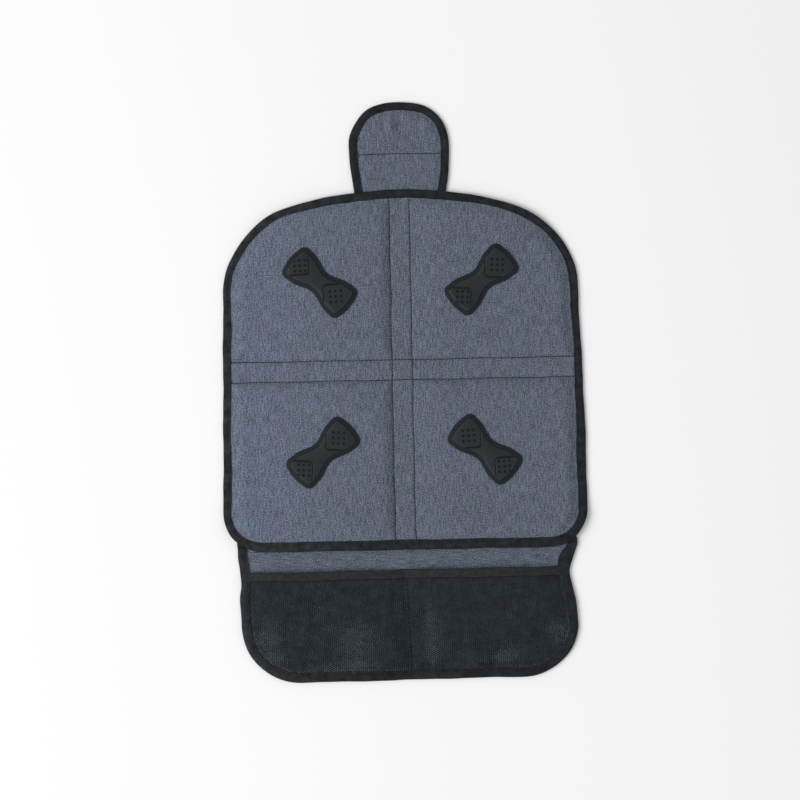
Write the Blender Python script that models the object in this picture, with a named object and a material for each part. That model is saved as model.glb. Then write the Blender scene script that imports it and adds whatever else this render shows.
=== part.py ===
"""A car seat protector, laid flat with its face up.

A padded and quilted panel covers the seat cushion. A tab behind it tucks into the gap under the
backrest, and an apron with a mesh pocket hangs over the front of the seat. Each of the three is a
face cloth over a backing, bound all round with folded tape, and the tab and the apron are sewn on
under the panel's edges. X runs across the seat, +Y towards the tab and Z up, in metres, and the
origin is under the middle of the whole mat.
"""

import math

import bmesh
import bpy

# Cloth, foam and tape
GAP = 0.0003  # kept between neighbouring pieces
FACE_THICK = 0.0008
BACKING_THICK = 0.0008
MESH_THICK = 0.0005
FOAM_THICK = 0.0050
TAPE_THICK = 0.0008
TAPE_WIDTH = 0.0115  # how far the folded tape reaches in from the edge, on both sides
CUT_EDGE_SETBACK = 0.0022  # from the fold of the tape to the cut edge of the cloth inside it

# Seat panel
PANEL_LENGTH = 0.4680
PANEL_REAR_WIDTH = 0.4630
PANEL_FRONT_WIDTH = 0.4730
PANEL_CROWN_RADIUS = 0.5650  # the shallow arch of the rear edge
PANEL_REAR_CORNER = 0.1130
PANEL_FRONT_CORNER = 0.0500

# Quilting: two seams each way leave an unpadded cross, on which the panel folds
SEAM_SPACING = 0.0262
SEAM_FLAT = 0.0007  # half the flat floor of a seam's groove
THREAD_WIDTH = 0.0008
THREAD_THICK = 0.0005
BAND_PUFF = 0.0008  # how far the cloth between the two seams stands above them
BAND_SHOULDER = 0.0020
PAD_FOOT = 0.0030  # the padded quarters rise steeply up to here, counted from the seam
PAD_FOOT_SHARE = 0.45
PAD_SHOULDER = 0.0090  # and reach their full height here
FOAM_SETBACK = 0.0060
FOAM_CHAMFER = 0.0060
FOAM_RIM_SHARE = 0.30

# Where the panel's cloth settles from its bound edge to the seat
EDGE_FLAT = 0.0140
EDGE_SETTLE = 0.0400
RAMP_LENGTH = 0.0450  # the panel comes down over this length from where it crosses a flap

# Tab and apron
FLAP_OVERLAP = 0.0240  # how far a flap reaches under the panel
FLAP_HIDDEN_CORNER = 0.0145
TAB_SHOWN = 0.1145
TAB_WIDTH = 0.1310
TAB_CROWN_RADIUS = 0.1050
TAB_CORNER = 0.0500
TAB_TAPER_DEG = 5.0
TAB_SEAM_FROM_END = 0.0680
TAB_PUFF = 0.0012
APRON_SHOWN = 0.1695
APRON_WIDTH = 0.4360
APRON_REAR_FLARE = 0.0035
APRON_CORNER = 0.0750
APRON_WAIST_DEPTH = 0.0073  # the elastic hem draws each side in by this much
APRON_WAIST_LENGTH = 0.0220

# Pocket
POCKET_FROM_PANEL = 0.0250  # from the panel's front edge to the mouth of the pocket
HEM_WIDTH = 0.0125
POCKET_BELLY = 0.0070
POCKET_SLOPE = 0.0400
DIVIDER_FLAT = 0.0015

# Rubber grips
GRIP_X = 0.1050
GRIP_REAR_Y = 0.1150  # from the middle of the panel
GRIP_FRONT_Y = 0.1055
GRIP_ANGLE_DEG = 41.5
GRIP_HALF_LENGTH = 0.0515
GRIP_END_HALF_WIDTH = 0.0250
GRIP_SHOULDER_X = 0.0240
GRIP_SHOULDER_HALF_WIDTH = 0.0230
GRIP_WAIST_HALF_WIDTH = 0.0140
GRIP_FLANGE_WIDTH = 0.0048
GRIP_FLANGE_THICK = 0.0012
GRIP_BODY_THICK = 0.0030
GRIP_BODY_DRAFT = 0.0008
PETAL_GROOVE_WIDTH = 0.0010
PETAL_GROOVE_DEPTH = 0.0007
BIG_PETAL_NOSE = 0.0080  # from the middle of the grip
SMALL_PETAL_NOSE = 0.0170
PETAL_RIM = 0.0017  # between a petal and the edge of the grip's body
DIMPLE_RADIUS = 0.0012
DIMPLE_DEPTH = 0.0010
BIG_DIMPLES_X = 0.0275
BIG_DIMPLE_SPACING = 0.0068
SMALL_DIMPLES_X = 0.0325
SMALL_DIMPLE_SPACING = 0.0062

# Facets
ARC_STEP_DEG = 12.0
CROWN_STEPS = 5
SIDE_STEPS = 9
DIMPLE_SIDES = 6
GRIP_ARC_STEP_DEG = 16.0

# Places that follow from the sizes
TOTAL_LENGTH = TAB_SHOWN + PANEL_LENGTH + APRON_SHOWN
TAB_END = TOTAL_LENGTH / 2
APRON_END = -TOTAL_LENGTH / 2
PANEL_REAR = TAB_END - TAB_SHOWN
PANEL_FRONT = APRON_END + APRON_SHOWN
PANEL_MIDDLE = (PANEL_REAR + PANEL_FRONT) / 2
TAB_ROOT = PANEL_REAR - FLAP_OVERLAP
APRON_ROOT = PANEL_FRONT + FLAP_OVERLAP
POCKET_MOUTH = PANEL_FRONT - POCKET_FROM_PANEL
TAB_SEAM = TAB_END - TAB_SEAM_FROM_END
SEAM = SEAM_SPACING / 2
EDGE_RISE = TAPE_THICK + GAP
FACE_BASE = BACKING_THICK + GAP
MESH_BASE = FACE_BASE + FACE_THICK + GAP
BOUND_HEIGHT = EDGE_RISE + FACE_BASE + FACE_THICK + GAP + TAPE_THICK
APRON_BOUND_HEIGHT = BOUND_HEIGHT + MESH_THICK + GAP


def interpolate(value, table):
    """The height that a table of (place, height) pairs gives, straight between its places."""
    if value <= table[0][0]:
        return table[0][1]
    for (start, low), (end, high) in zip(table, table[1:]):
        if value <= end:
            return low + (high - low) * (value - start) / (end - start)
    return table[-1][1]


# Outlines. Each takes an inset from the outer edge of the tape and runs anticlockwise.


def arc(centre_x, centre_y, radius, start_deg, end_deg, steps=None):
    """Points round a corner. Past its radius an inset corner is sharp, and they all fall on it."""
    steps = steps or max(2, round(abs(end_deg - start_deg) / ARC_STEP_DEG))
    if radius <= 0:
        middle = math.radians((start_deg + end_deg) / 2)
        reach = radius / math.cos(math.radians(end_deg - start_deg) / 2)
        return [(centre_x + reach * math.cos(middle), centre_y + reach * math.sin(middle))] * (steps + 1)
    angles = [math.radians(start_deg + (end_deg - start_deg) * i / steps) for i in range(steps + 1)]
    return [(centre_x + radius * math.cos(a), centre_y + radius * math.sin(a)) for a in angles]


def mirrored(right_side):
    """Closes an outline whose right half runs from the front to the rear."""
    left_side = [(-x, y) for x, y in reversed(right_side) if x > GAP]
    return right_side + left_side


def panel_outline(inset=0.0):
    front_x = PANEL_FRONT_WIDTH / 2 - PANEL_FRONT_CORNER
    front_y = PANEL_FRONT + PANEL_FRONT_CORNER
    rear_x = PANEL_REAR_WIDTH / 2 - PANEL_REAR_CORNER
    crown_y = PANEL_REAR - PANEL_CROWN_RADIUS
    reach = PANEL_CROWN_RADIUS - PANEL_REAR_CORNER
    lean = math.degrees(math.asin(rear_x / reach))
    rear_y = crown_y + reach * math.cos(math.radians(lean))
    right_side = arc(front_x, front_y, PANEL_FRONT_CORNER - inset, -90, 0)
    right_side += arc(rear_x, rear_y, PANEL_REAR_CORNER - inset, 0, 90 - lean)
    right_side += arc(0, crown_y, PANEL_CROWN_RADIUS - inset, 90 - lean, 90, CROWN_STEPS)[1:]
    return mirrored(right_side)


def tab_outline(inset=0.0):
    corner_x = TAB_WIDTH / 2 - TAB_CORNER
    crown_y = TAB_END - TAB_CROWN_RADIUS
    reach = TAB_CROWN_RADIUS - TAB_CORNER
    lean = math.degrees(math.asin(corner_x / reach))
    corner_y = crown_y + reach * math.cos(math.radians(lean))
    taper = math.radians(TAB_TAPER_DEG)
    root_y = TAB_ROOT + FLAP_HIDDEN_CORNER
    run = (corner_y - root_y) * math.tan(taper)
    root_x = corner_x + (TAB_CORNER - FLAP_HIDDEN_CORNER) / math.cos(taper) - run
    right_side = arc(root_x, root_y, FLAP_HIDDEN_CORNER - inset, -90, -TAB_TAPER_DEG)
    right_side += arc(corner_x, corner_y, TAB_CORNER - inset, -TAB_TAPER_DEG, 90 - lean)
    right_side += arc(0, crown_y, TAB_CROWN_RADIUS - inset, 90 - lean, 90, CROWN_STEPS)[1:]
    return mirrored(right_side)


def apron_half_width(y):
    flare = APRON_REAR_FLARE * (y - APRON_END) / (PANEL_FRONT - APRON_END)
    middle = POCKET_MOUTH - HEM_WIDTH / 2
    waist = APRON_WAIST_DEPTH * math.exp(-(((y - middle) / APRON_WAIST_LENGTH) ** 2))
    return APRON_WIDTH / 2 + flare - waist


def apron_front_and_side(inset):
    front_y = APRON_END + APRON_CORNER
    root_y = APRON_ROOT - FLAP_HIDDEN_CORNER
    front_x = apron_half_width(front_y) - APRON_CORNER
    points = arc(front_x, front_y, APRON_CORNER - inset, -90, 0)
    for step in range(1, SIDE_STEPS):
        y = front_y + (root_y - front_y) * step / SIDE_STEPS
        points.append((apron_half_width(y) - inset, y))
    return points


def apron_outline(inset=0.0):
    root_y = APRON_ROOT - FLAP_HIDDEN_CORNER
    root_x = apron_half_width(root_y) - FLAP_HIDDEN_CORNER
    root_corner = arc(root_x, root_y, FLAP_HIDDEN_CORNER - inset, 0, 90)
    return mirrored(apron_front_and_side(inset) + root_corner)


def pocket_outline(inset=0.0):
    """The apron's outline carried on to the rear, so that no inset of it crosses the mouth."""
    behind = (apron_half_width(APRON_ROOT) - inset, APRON_ROOT + POCKET_SLOPE - inset)
    return mirrored(apron_front_and_side(inset) + [behind])


def pocket_inset(x, y):
    """The inset at which the apron's sides or front would pass through a point."""
    x, corner_y = abs(x), APRON_END + APRON_CORNER
    corner_x = apron_half_width(corner_y) - APRON_CORNER
    if x > corner_x and y < corner_y:
        return APRON_CORNER - math.hypot(x - corner_x, y - corner_y)
    return min(apron_half_width(y) - x, y - APRON_END)


def rounded(corners, step_deg=GRIP_ARC_STEP_DEG):
    """A closed outline through (x, y, radius) corners, each of them rounded."""
    points = []
    for i, (x, y, radius) in enumerate(corners):
        back_x, back_y = corners[i - 1][0] - x, corners[i - 1][1] - y
        on_x, on_y = corners[(i + 1) % len(corners)][0] - x, corners[(i + 1) % len(corners)][1] - y
        back_length, on_length = math.hypot(back_x, back_y), math.hypot(on_x, on_y)
        back_x, back_y = back_x / back_length, back_y / back_length
        on_x, on_y = on_x / on_length, on_y / on_length
        opening = math.acos(max(-1.0, min(1.0, back_x * on_x + back_y * on_y)))
        tangent = min(radius / math.tan(opening / 2), 0.49 * min(back_length, on_length))
        radius = tangent * math.tan(opening / 2)
        middle_x, middle_y = back_x + on_x, back_y + on_y
        middle_length = math.hypot(middle_x, middle_y)
        reach = radius / math.sin(opening / 2)
        centre_x = x + middle_x / middle_length * reach
        centre_y = y + middle_y / middle_length * reach
        start = math.atan2(y + back_y * tangent - centre_y, x + back_x * tangent - centre_x)
        end = math.atan2(y + on_y * tangent - centre_y, x + on_x * tangent - centre_x)
        turn = (end - start + math.pi) % (2 * math.pi) - math.pi
        steps = max(2, round(abs(math.degrees(turn)) / step_deg))
        for k in range(steps + 1):
            angle = start + turn * k / steps
            points.append((centre_x + radius * math.cos(angle), centre_y + radius * math.sin(angle)))
    return points


def distance_in(x, y, outline):
    """How far a point inside an outline is from it."""
    nearest = math.inf
    for (ax, ay), (bx, by) in zip(outline, outline[1:] + outline[:1]):
        dx, dy = bx - ax, by - ay
        along = max(0.0, min(1.0, ((x - ax) * dx + (y - ay) * dy) / (dx * dx + dy * dy)))
        nearest = min(nearest, math.hypot(x - ax - along * dx, y - ay - along * dy))
    return nearest


# Heights. Every sheet follows the same functions, so that the layers lie on each other.

PANEL_EDGE = panel_outline()
TAB_EDGE = tab_outline()
SEAM_CUTS = [-BAND_SHOULDER, -SEAM_FLAT, SEAM_FLAT, PAD_FOOT, PAD_SHOULDER]
RAMP = [(0.0, 1.0), (1 / 3, 0.75), (2 / 3, 0.25), (1.0, 0.0)]


def ramp_lines():
    """The panel's lift at each line across it: up over the apron, down to the seat, up over the tab."""
    over_apron, over_tab = APRON_BOUND_HEIGHT + GAP, BOUND_HEIGHT + GAP
    front, rear = APRON_ROOT + GAP, TAB_ROOT - GAP
    table = [(front + RAMP_LENGTH * t, over_apron * share) for t, share in RAMP]
    table += [(rear - RAMP_LENGTH * t, over_tab * share) for t, share in reversed(RAMP)]
    return table


PANEL_LIFT = ramp_lines()
LIFT_CUTS = [y for y, _ in PANEL_LIFT]


def edge_rise(distance):
    """The cloth stands on the folded tape at its edge, and on the seat further in."""
    return interpolate(distance, [(EDGE_FLAT + SEAM_FLAT, EDGE_RISE), (EDGE_SETTLE, 0.0)])


def pad_share(distance):
    """How far a quarter's cloth has risen over its foam, counted from the nearest seam."""
    table = [(SEAM_FLAT, 0.0), (PAD_FOOT, PAD_FOOT_SHARE), (PAD_SHOULDER, 1.0)]
    return interpolate(distance, table)


def puff(distance, height):
    """A slack cloth between seams stands a little above them."""
    return interpolate(distance, [(SEAM_FLAT, 0.0), (BAND_SHOULDER, height)])


def from_seams(x, y):
    """Signed distances to the seams: positive on the padded side of each pair."""
    return abs(x) - SEAM, abs(y - PANEL_MIDDLE) - SEAM


def panel_low(x, y):
    return interpolate(y, PANEL_LIFT) + edge_rise(distance_in(x, y, PANEL_EDGE))


def panel_face_low(x, y):
    across, along = from_seams(x, y)
    edge = distance_in(x, y, PANEL_EDGE)
    nearest = min(abs(across), abs(along), edge - EDGE_FLAT)
    padded = across > 0 and along > 0
    rise = pad_share(nearest) * (FOAM_THICK + GAP) if padded else puff(nearest, BAND_PUFF)
    return panel_low(x, y) + FACE_BASE + rise


def foam_low(x, y):
    return panel_low(x, y) + FACE_BASE


def foam_high(x, y):
    across, along = from_seams(x, y)
    nearest = min(across, along, distance_in(x, y, PANEL_EDGE) - EDGE_FLAT)
    rim, full = FOAM_RIM_SHARE * FOAM_THICK, FOAM_SETBACK + FOAM_CHAMFER
    return foam_low(x, y) + interpolate(nearest, [(FOAM_SETBACK, rim), (full, FOAM_THICK)])


def flap_low(x, y):
    """The cloth of the tab and the apron lies level, on the folded tape round it."""
    return EDGE_RISE


def tab_face_low(x, y):
    nearest = min(abs(y - TAB_SEAM), distance_in(x, y, TAB_EDGE) - EDGE_FLAT)
    return flap_low(x, y) + FACE_BASE + puff(nearest, TAB_PUFF)


def apron_face_low(x, y):
    return flap_low(x, y) + FACE_BASE


POCKET_CUTS = [SEAM_FLAT, 0.25 * POCKET_SLOPE, 0.55 * POCKET_SLOPE, POCKET_SLOPE]


def belly(distance):
    """The slack of the pocket, counted from where its mesh is sewn down."""
    shares = [0.0, 0.45, 0.80, 1.0]
    return interpolate(distance, [(cut, POCKET_BELLY * s) for cut, s in zip(POCKET_CUTS, shares)])


def mesh_low(x, y):
    nearest = min(abs(x) - DIVIDER_FLAT, pocket_inset(x, y) - EDGE_FLAT)
    return flap_low(x, y) + MESH_BASE + belly(nearest)


# Mesh building


def cut(mesh, axis, place, keep=0):
    """Cuts along a line across X (axis 0) or Y (axis 1); keep drops what is above (-1) or below (1)."""
    normal = (1, 0, 0) if axis == 0 else (0, 1, 0)
    point = tuple(place * n for n in normal)
    everything = mesh.verts[:] + mesh.edges[:] + mesh.faces[:]
    bmesh.ops.bisect_plane(
        mesh,
        geom=everything,
        dist=1e-6,
        plane_co=point,
        plane_no=normal,
        clear_outer=keep < 0,
        clear_inner=keep > 0,
    )


def flat_region(outline, insets, cuts_x=(), cuts_y=()):
    """The flat inside of an outline: rings of faces between the insets, cut along the lines."""
    mesh = bmesh.new()
    loops = [[mesh.verts.new((x, y, 0)) for x, y in outline(inset)] for inset in insets]
    for outer, inner in zip(loops, loops[1:]):
        for i in range(len(outer)):
            mesh.faces.new((outer[i - 1], outer[i], inner[i], inner[i - 1]))
    mesh.faces.new(loops[-1])
    bmesh.ops.remove_doubles(mesh, verts=mesh.verts[:], dist=1e-6)
    for axis, places in ((0, cuts_x), (1, cuts_y)):
        for place in places:
            cut(mesh, axis, place)
    return mesh


def thicken(mesh, low, high):
    """Turns a flat region into a closed sheet between two heights."""
    bmesh.ops.triangulate(mesh, faces=mesh.faces[:])
    made = bmesh.ops.extrude_face_region(mesh, geom=mesh.faces[:])["geom"]
    upper = {v for v in made if isinstance(v, bmesh.types.BMVert)}
    for v in mesh.verts:
        v.co.z = high(v.co.x, v.co.y) if v in upper else low(v.co.x, v.co.y)
    bmesh.ops.recalc_face_normals(mesh, faces=mesh.faces[:])


def raised(height, by):
    """The same height function, higher by a thickness."""
    return lambda x, y: height(x, y) + by


def folded_tape(outline, height, lift=None, lift_cuts=()):
    """Tape folded over an edge: a U section swept round the whole outline."""
    outer, inner = height / 2, height / 2 - TAPE_THICK
    nose = [(outer * (1 - math.sin(a)), outer * (1 - math.cos(a))) for a in fold_angles()]
    hollow = [(outer - inner * math.sin(a), outer - inner * math.cos(a)) for a in fold_angles()]
    section = [(TAPE_WIDTH, 0.0), *nose, (TAPE_WIDTH, height)]
    section += [(TAPE_WIDTH, height - TAPE_THICK), *reversed(hollow), (TAPE_WIDTH, TAPE_THICK)]
    mesh = bmesh.new()
    loops = [[mesh.verts.new((x, y, z)) for x, y in outline(inset)] for inset, z in section]
    for first, second in zip(loops, loops[1:] + loops[:1]):
        for i in range(len(first)):
            mesh.faces.new((first[i - 1], first[i], second[i], second[i - 1]))
    for place in lift_cuts:
        cut(mesh, 1, place)
    if lift:
        for v in mesh.verts:
            v.co.z += interpolate(v.co.y, lift)
    bmesh.ops.recalc_face_normals(mesh, faces=mesh.faces[:])
    return mesh


def fold_angles(steps=3):
    return [math.pi * i / steps for i in range(steps + 1)]


def thread_strips(mesh, on_seam):
    """Keeps the faces of a flat region that lie on a seam."""
    off = [f for f in mesh.faces if not on_seam(*f.calc_center_median().xy)]
    bmesh.ops.delete(mesh, geom=off, context="FACES")
    return mesh


def material(name, colour, roughness, metallic=0.0):
    made = bpy.data.materials.new(name)
    made.use_nodes = True
    shader = made.node_tree.nodes["Principled BSDF"]
    shader.inputs["Base Color"].default_value = (*colour, 1.0)
    shader.inputs["Roughness"].default_value = roughness
    shader.inputs["Metallic"].default_value = metallic
    made.diffuse_color = (*colour, 1.0)
    return made


def place(name, mesh, finish):
    """Puts a bmesh in the scene as one named piece."""
    data = bpy.data.meshes.new(name)
    mesh.to_mesh(data)
    mesh.free()
    data.materials.append(finish)
    piece = bpy.data.objects.new(name, data)
    bpy.context.scene.collection.objects.link(piece)
    data.shade_smooth()
    data.set_sharp_from_angle(angle=math.radians(35))
    return piece


# Seat panel


def build_seat_backing(finish):
    rings = [CUT_EDGE_SETBACK, EDGE_FLAT + SEAM_FLAT, EDGE_SETTLE]
    mesh = flat_region(panel_outline, rings, cuts_y=LIFT_CUTS)
    thicken(mesh, panel_low, raised(panel_low, BACKING_THICK))
    place("seat_backing", mesh, finish)


def build_seat_face(finish):
    rings = [CUT_EDGE_SETBACK, EDGE_FLAT + SEAM_FLAT, EDGE_FLAT + PAD_FOOT]
    rings += [EDGE_FLAT + PAD_SHOULDER, EDGE_SETTLE]
    across = [side * (SEAM + offset) for side in (-1, 1) for offset in SEAM_CUTS]
    along = [PANEL_MIDDLE + offset for offset in across]
    mesh = flat_region(panel_outline, rings, across, along + LIFT_CUTS)
    thicken(mesh, panel_face_low, raised(panel_face_low, FACE_THICK))
    place("seat_face", mesh, finish)


def build_foam_pad(name, side, end, finish):
    """One quarter's foam: side is -1 on the left, and end is -1 at the front."""
    rings = [EDGE_FLAT + FOAM_SETBACK, EDGE_FLAT + FOAM_SETBACK + FOAM_CHAMFER, EDGE_SETTLE]
    start, full = SEAM + FOAM_SETBACK, SEAM + FOAM_SETBACK + FOAM_CHAMFER
    mesh = flat_region(panel_outline, rings, [side * full], [PANEL_MIDDLE + end * full] + LIFT_CUTS)
    cut(mesh, 0, side * start, keep=side)
    cut(mesh, 1, PANEL_MIDDLE + end * start, keep=end)
    thicken(mesh, foam_low, foam_high)
    place(name, mesh, finish)


def build_quilt_thread(finish):
    half = THREAD_WIDTH / 2
    across = [side * (SEAM + offset) for side in (-1, 1) for offset in (-half, half)]
    along = [PANEL_MIDDLE + offset for offset in across]
    rings = [TAPE_WIDTH + 2 * GAP, EDGE_FLAT + SEAM_FLAT, EDGE_SETTLE]
    mesh = flat_region(panel_outline, rings, across, along + LIFT_CUTS)
    thread_strips(mesh, lambda x, y: min(map(abs, from_seams(x, y))) < half)
    low = raised(panel_face_low, FACE_THICK + GAP)
    thicken(mesh, low, raised(low, THREAD_THICK))
    place("quilt_thread", mesh, finish)


def build_seat_binding(finish):
    mesh = folded_tape(panel_outline, BOUND_HEIGHT, PANEL_LIFT, LIFT_CUTS)
    place("seat_binding", mesh, finish)


# Tab


def build_tab(face_finish, backing_finish, tape_finish, thread_finish):
    mesh = flat_region(tab_outline, [CUT_EDGE_SETBACK])
    thicken(mesh, flap_low, raised(flap_low, BACKING_THICK))
    place("tab_backing", mesh, backing_finish)

    face_rings = [CUT_EDGE_SETBACK, EDGE_FLAT + SEAM_FLAT, EDGE_FLAT + BAND_SHOULDER]
    cuts = [TAB_SEAM + offset for offset in (-BAND_SHOULDER, -SEAM_FLAT, SEAM_FLAT, BAND_SHOULDER)]
    mesh = flat_region(tab_outline, face_rings, cuts_y=cuts)
    thicken(mesh, tab_face_low, raised(tab_face_low, FACE_THICK))
    place("tab_face", mesh, face_finish)

    half = THREAD_WIDTH / 2
    rings = [TAPE_WIDTH + 2 * GAP, EDGE_FLAT + SEAM_FLAT, EDGE_FLAT + BAND_SHOULDER]
    mesh = flat_region(tab_outline, rings, cuts_y=[TAB_SEAM - half, TAB_SEAM + half])
    thread_strips(mesh, lambda x, y: abs(y - TAB_SEAM) < half)
    low = raised(tab_face_low, FACE_THICK + GAP)
    thicken(mesh, low, raised(low, THREAD_THICK))
    place("tab_thread", mesh, thread_finish)

    place("tab_binding", folded_tape(tab_outline, BOUND_HEIGHT), tape_finish)


# Apron and its pocket


def build_apron(face_finish, backing_finish, tape_finish):
    mesh = flat_region(apron_outline, [CUT_EDGE_SETBACK])
    thicken(mesh, flap_low, raised(flap_low, BACKING_THICK))
    place("apron_backing", mesh, backing_finish)

    mesh = flat_region(apron_outline, [CUT_EDGE_SETBACK])
    thicken(mesh, apron_face_low, raised(apron_face_low, FACE_THICK))
    place("apron_face", mesh, face_finish)

    place("apron_binding", folded_tape(apron_outline, APRON_BOUND_HEIGHT), tape_finish)


def pocket_region(first_inset):
    """The flat plan of the apron, cut where the pocket bends."""
    rings = [first_inset] + [EDGE_FLAT + offset for offset in POCKET_CUTS]
    across = [side * (DIVIDER_FLAT + offset) for side in (-1, 1) for offset in POCKET_CUTS]
    return flat_region(pocket_outline, rings, across, [POCKET_MOUTH - HEM_WIDTH])


def build_pocket_mesh(finish):
    mesh = pocket_region(CUT_EDGE_SETBACK)
    cut(mesh, 1, POCKET_MOUTH, keep=-1)
    thicken(mesh, mesh_low, raised(mesh_low, MESH_THICK))
    place("pocket_mesh", mesh, finish)


def hem_low(x, y):
    """The hem lies on the mesh, and its lip turns down past the mesh's cut edge."""
    lip = y > POCKET_MOUTH + 0.75 * GAP
    return mesh_low(x, min(y, POCKET_MOUTH)) + (0.0 if lip else MESH_THICK + GAP)


def hem_high(x, y):
    return mesh_low(x, min(y, POCKET_MOUTH)) + MESH_THICK + GAP + TAPE_THICK


def build_pocket_hem(finish):
    mesh = pocket_region(TAPE_WIDTH + GAP)
    cut(mesh, 1, POCKET_MOUTH + GAP / 2)
    cut(mesh, 1, POCKET_MOUTH + GAP)
    cut(mesh, 1, POCKET_MOUTH + GAP + TAPE_THICK, keep=-1)
    cut(mesh, 1, POCKET_MOUTH - HEM_WIDTH, keep=1)
    thicken(mesh, hem_low, hem_high)
    place("pocket_hem", mesh, finish)


def build_pocket_thread(finish):
    """The seam that divides the pocket, down the mesh from the hem to the front tape."""
    half = THREAD_WIDTH / 2
    mesh = flat_region(pocket_outline, [TAPE_WIDTH + 2 * GAP], [-half, half])
    thread_strips(mesh, lambda x, y: abs(x) < half)
    cut(mesh, 1, POCKET_MOUTH - HEM_WIDTH - GAP, keep=-1)
    low = raised(mesh_low, MESH_THICK + GAP)
    thicken(mesh, low, raised(low, THREAD_THICK))
    place("pocket_thread", mesh, finish)


# Rubber grips: a bow tie with a sewing flange, and a dimpled petal in each lobe


def grip_outline():
    end_x = GRIP_HALF_LENGTH - 0.22 * GRIP_END_HALF_WIDTH
    half = [
        (GRIP_HALF_LENGTH, 0.0, 0.0600),
        (end_x, GRIP_END_HALF_WIDTH, 0.0090),
        (GRIP_SHOULDER_X, GRIP_SHOULDER_HALF_WIDTH, 0.0250),
        (0.0, GRIP_WAIST_HALF_WIDTH, 0.0250),
        (-GRIP_SHOULDER_X, GRIP_SHOULDER_HALF_WIDTH, 0.0250),
        (-end_x, GRIP_END_HALF_WIDTH, 0.0090),
    ]
    return rounded(half + [(-x, -y, r) for x, y, r in half])


def petal_outline(nose):
    """A petal with a square nose towards the waist and a round end towards the lobe's end."""
    inside = GRIP_FLANGE_WIDTH + GRIP_BODY_DRAFT + PETAL_RIM
    end = GRIP_HALF_LENGTH - inside
    half_width = min(GRIP_SHOULDER_HALF_WIDTH - inside, 0.62 * (end - nose))
    half = [
        (nose, 0.0, 0.0045),
        (nose + half_width, half_width, 0.0050),
        (end - 0.22 * half_width, 0.80 * half_width, 0.0050),
        (end, 0.0, 0.0300),
    ]
    return rounded([(x, -y, r) for x, y, r in half] + [(x, y, r) for x, y, r in half[2:0:-1]])


def add_groove(mesh, nose, turn, low, high):
    """A closed ring along the line between a petal and the body."""
    points = [(turn * x, turn * y) for x, y in petal_outline(nose)]
    petal = mesh.faces.new([mesh.verts.new((x, y, low)) for x, y in points])
    ring = bmesh.ops.inset_region(
        mesh, faces=[petal], thickness=PETAL_GROOVE_WIDTH, use_even_offset=True
    )["faces"]
    bmesh.ops.delete(mesh, geom=[petal], context="FACES_ONLY")
    raise_copy(mesh, ring, high)


def raise_copy(mesh, faces, high):
    """Extrudes faces straight up to a height, which closes them into a solid."""
    made = bmesh.ops.extrude_face_region(mesh, geom=faces)["geom"]
    for v in made:
        if isinstance(v, bmesh.types.BMVert):
            v.co.z = high


def add_dimples(mesh, middle, spacing, low, high):
    """Nine dimples in a square that stands on its corner."""
    step = spacing * math.cos(math.radians(45))
    for row in (-1, 0, 1):
        for column in (-1, 0, 1):
            x, y = middle + step * (row + column), step * (row - column)
            angles = [2 * math.pi * k / DIMPLE_SIDES for k in range(DIMPLE_SIDES)]
            points = [(x + DIMPLE_RADIUS * math.cos(a), y + DIMPLE_RADIUS * math.sin(a)) for a in angles]
            raise_copy(mesh, [mesh.faces.new([mesh.verts.new((*p, low)) for p in points])], high)


def grip_cutter():
    """Everything that is sunk into the body: two grooves and two groups of dimples."""
    mesh = bmesh.new()
    high = GRIP_BODY_THICK + GRIP_FLANGE_THICK
    groove_floor = GRIP_BODY_THICK - PETAL_GROOVE_DEPTH
    dimple_floor = GRIP_BODY_THICK - DIMPLE_DEPTH
    add_groove(mesh, BIG_PETAL_NOSE, 1, groove_floor, high)
    add_groove(mesh, SMALL_PETAL_NOSE, -1, groove_floor, high)
    add_dimples(mesh, BIG_DIMPLES_X, BIG_DIMPLE_SPACING, dimple_floor, high)
    add_dimples(mesh, -SMALL_DIMPLES_X, SMALL_DIMPLE_SPACING, dimple_floor, high)
    bmesh.ops.recalc_face_normals(mesh, faces=mesh.faces[:])
    return mesh


def grip_blank():
    """The grip before its grooves and dimples: a flange with a drafted body standing on it."""
    mesh = bmesh.new()
    base = mesh.faces.new([mesh.verts.new((x, y, 0)) for x, y in grip_outline()])
    made = bmesh.ops.extrude_face_region(mesh, geom=[base])["geom"]
    top = next(f for f in made if isinstance(f, bmesh.types.BMFace))
    for v in top.verts:
        v.co.z = GRIP_FLANGE_THICK
    bmesh.ops.inset_region(mesh, faces=[top], thickness=GRIP_FLANGE_WIDTH, use_even_offset=True)
    bmesh.ops.inset_region(mesh, faces=[top], thickness=GRIP_BODY_DRAFT, use_even_offset=True)
    for v in top.verts:
        v.co.z = GRIP_BODY_THICK
    bmesh.ops.recalc_face_normals(mesh, faces=mesh.faces[:])
    return mesh


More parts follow.
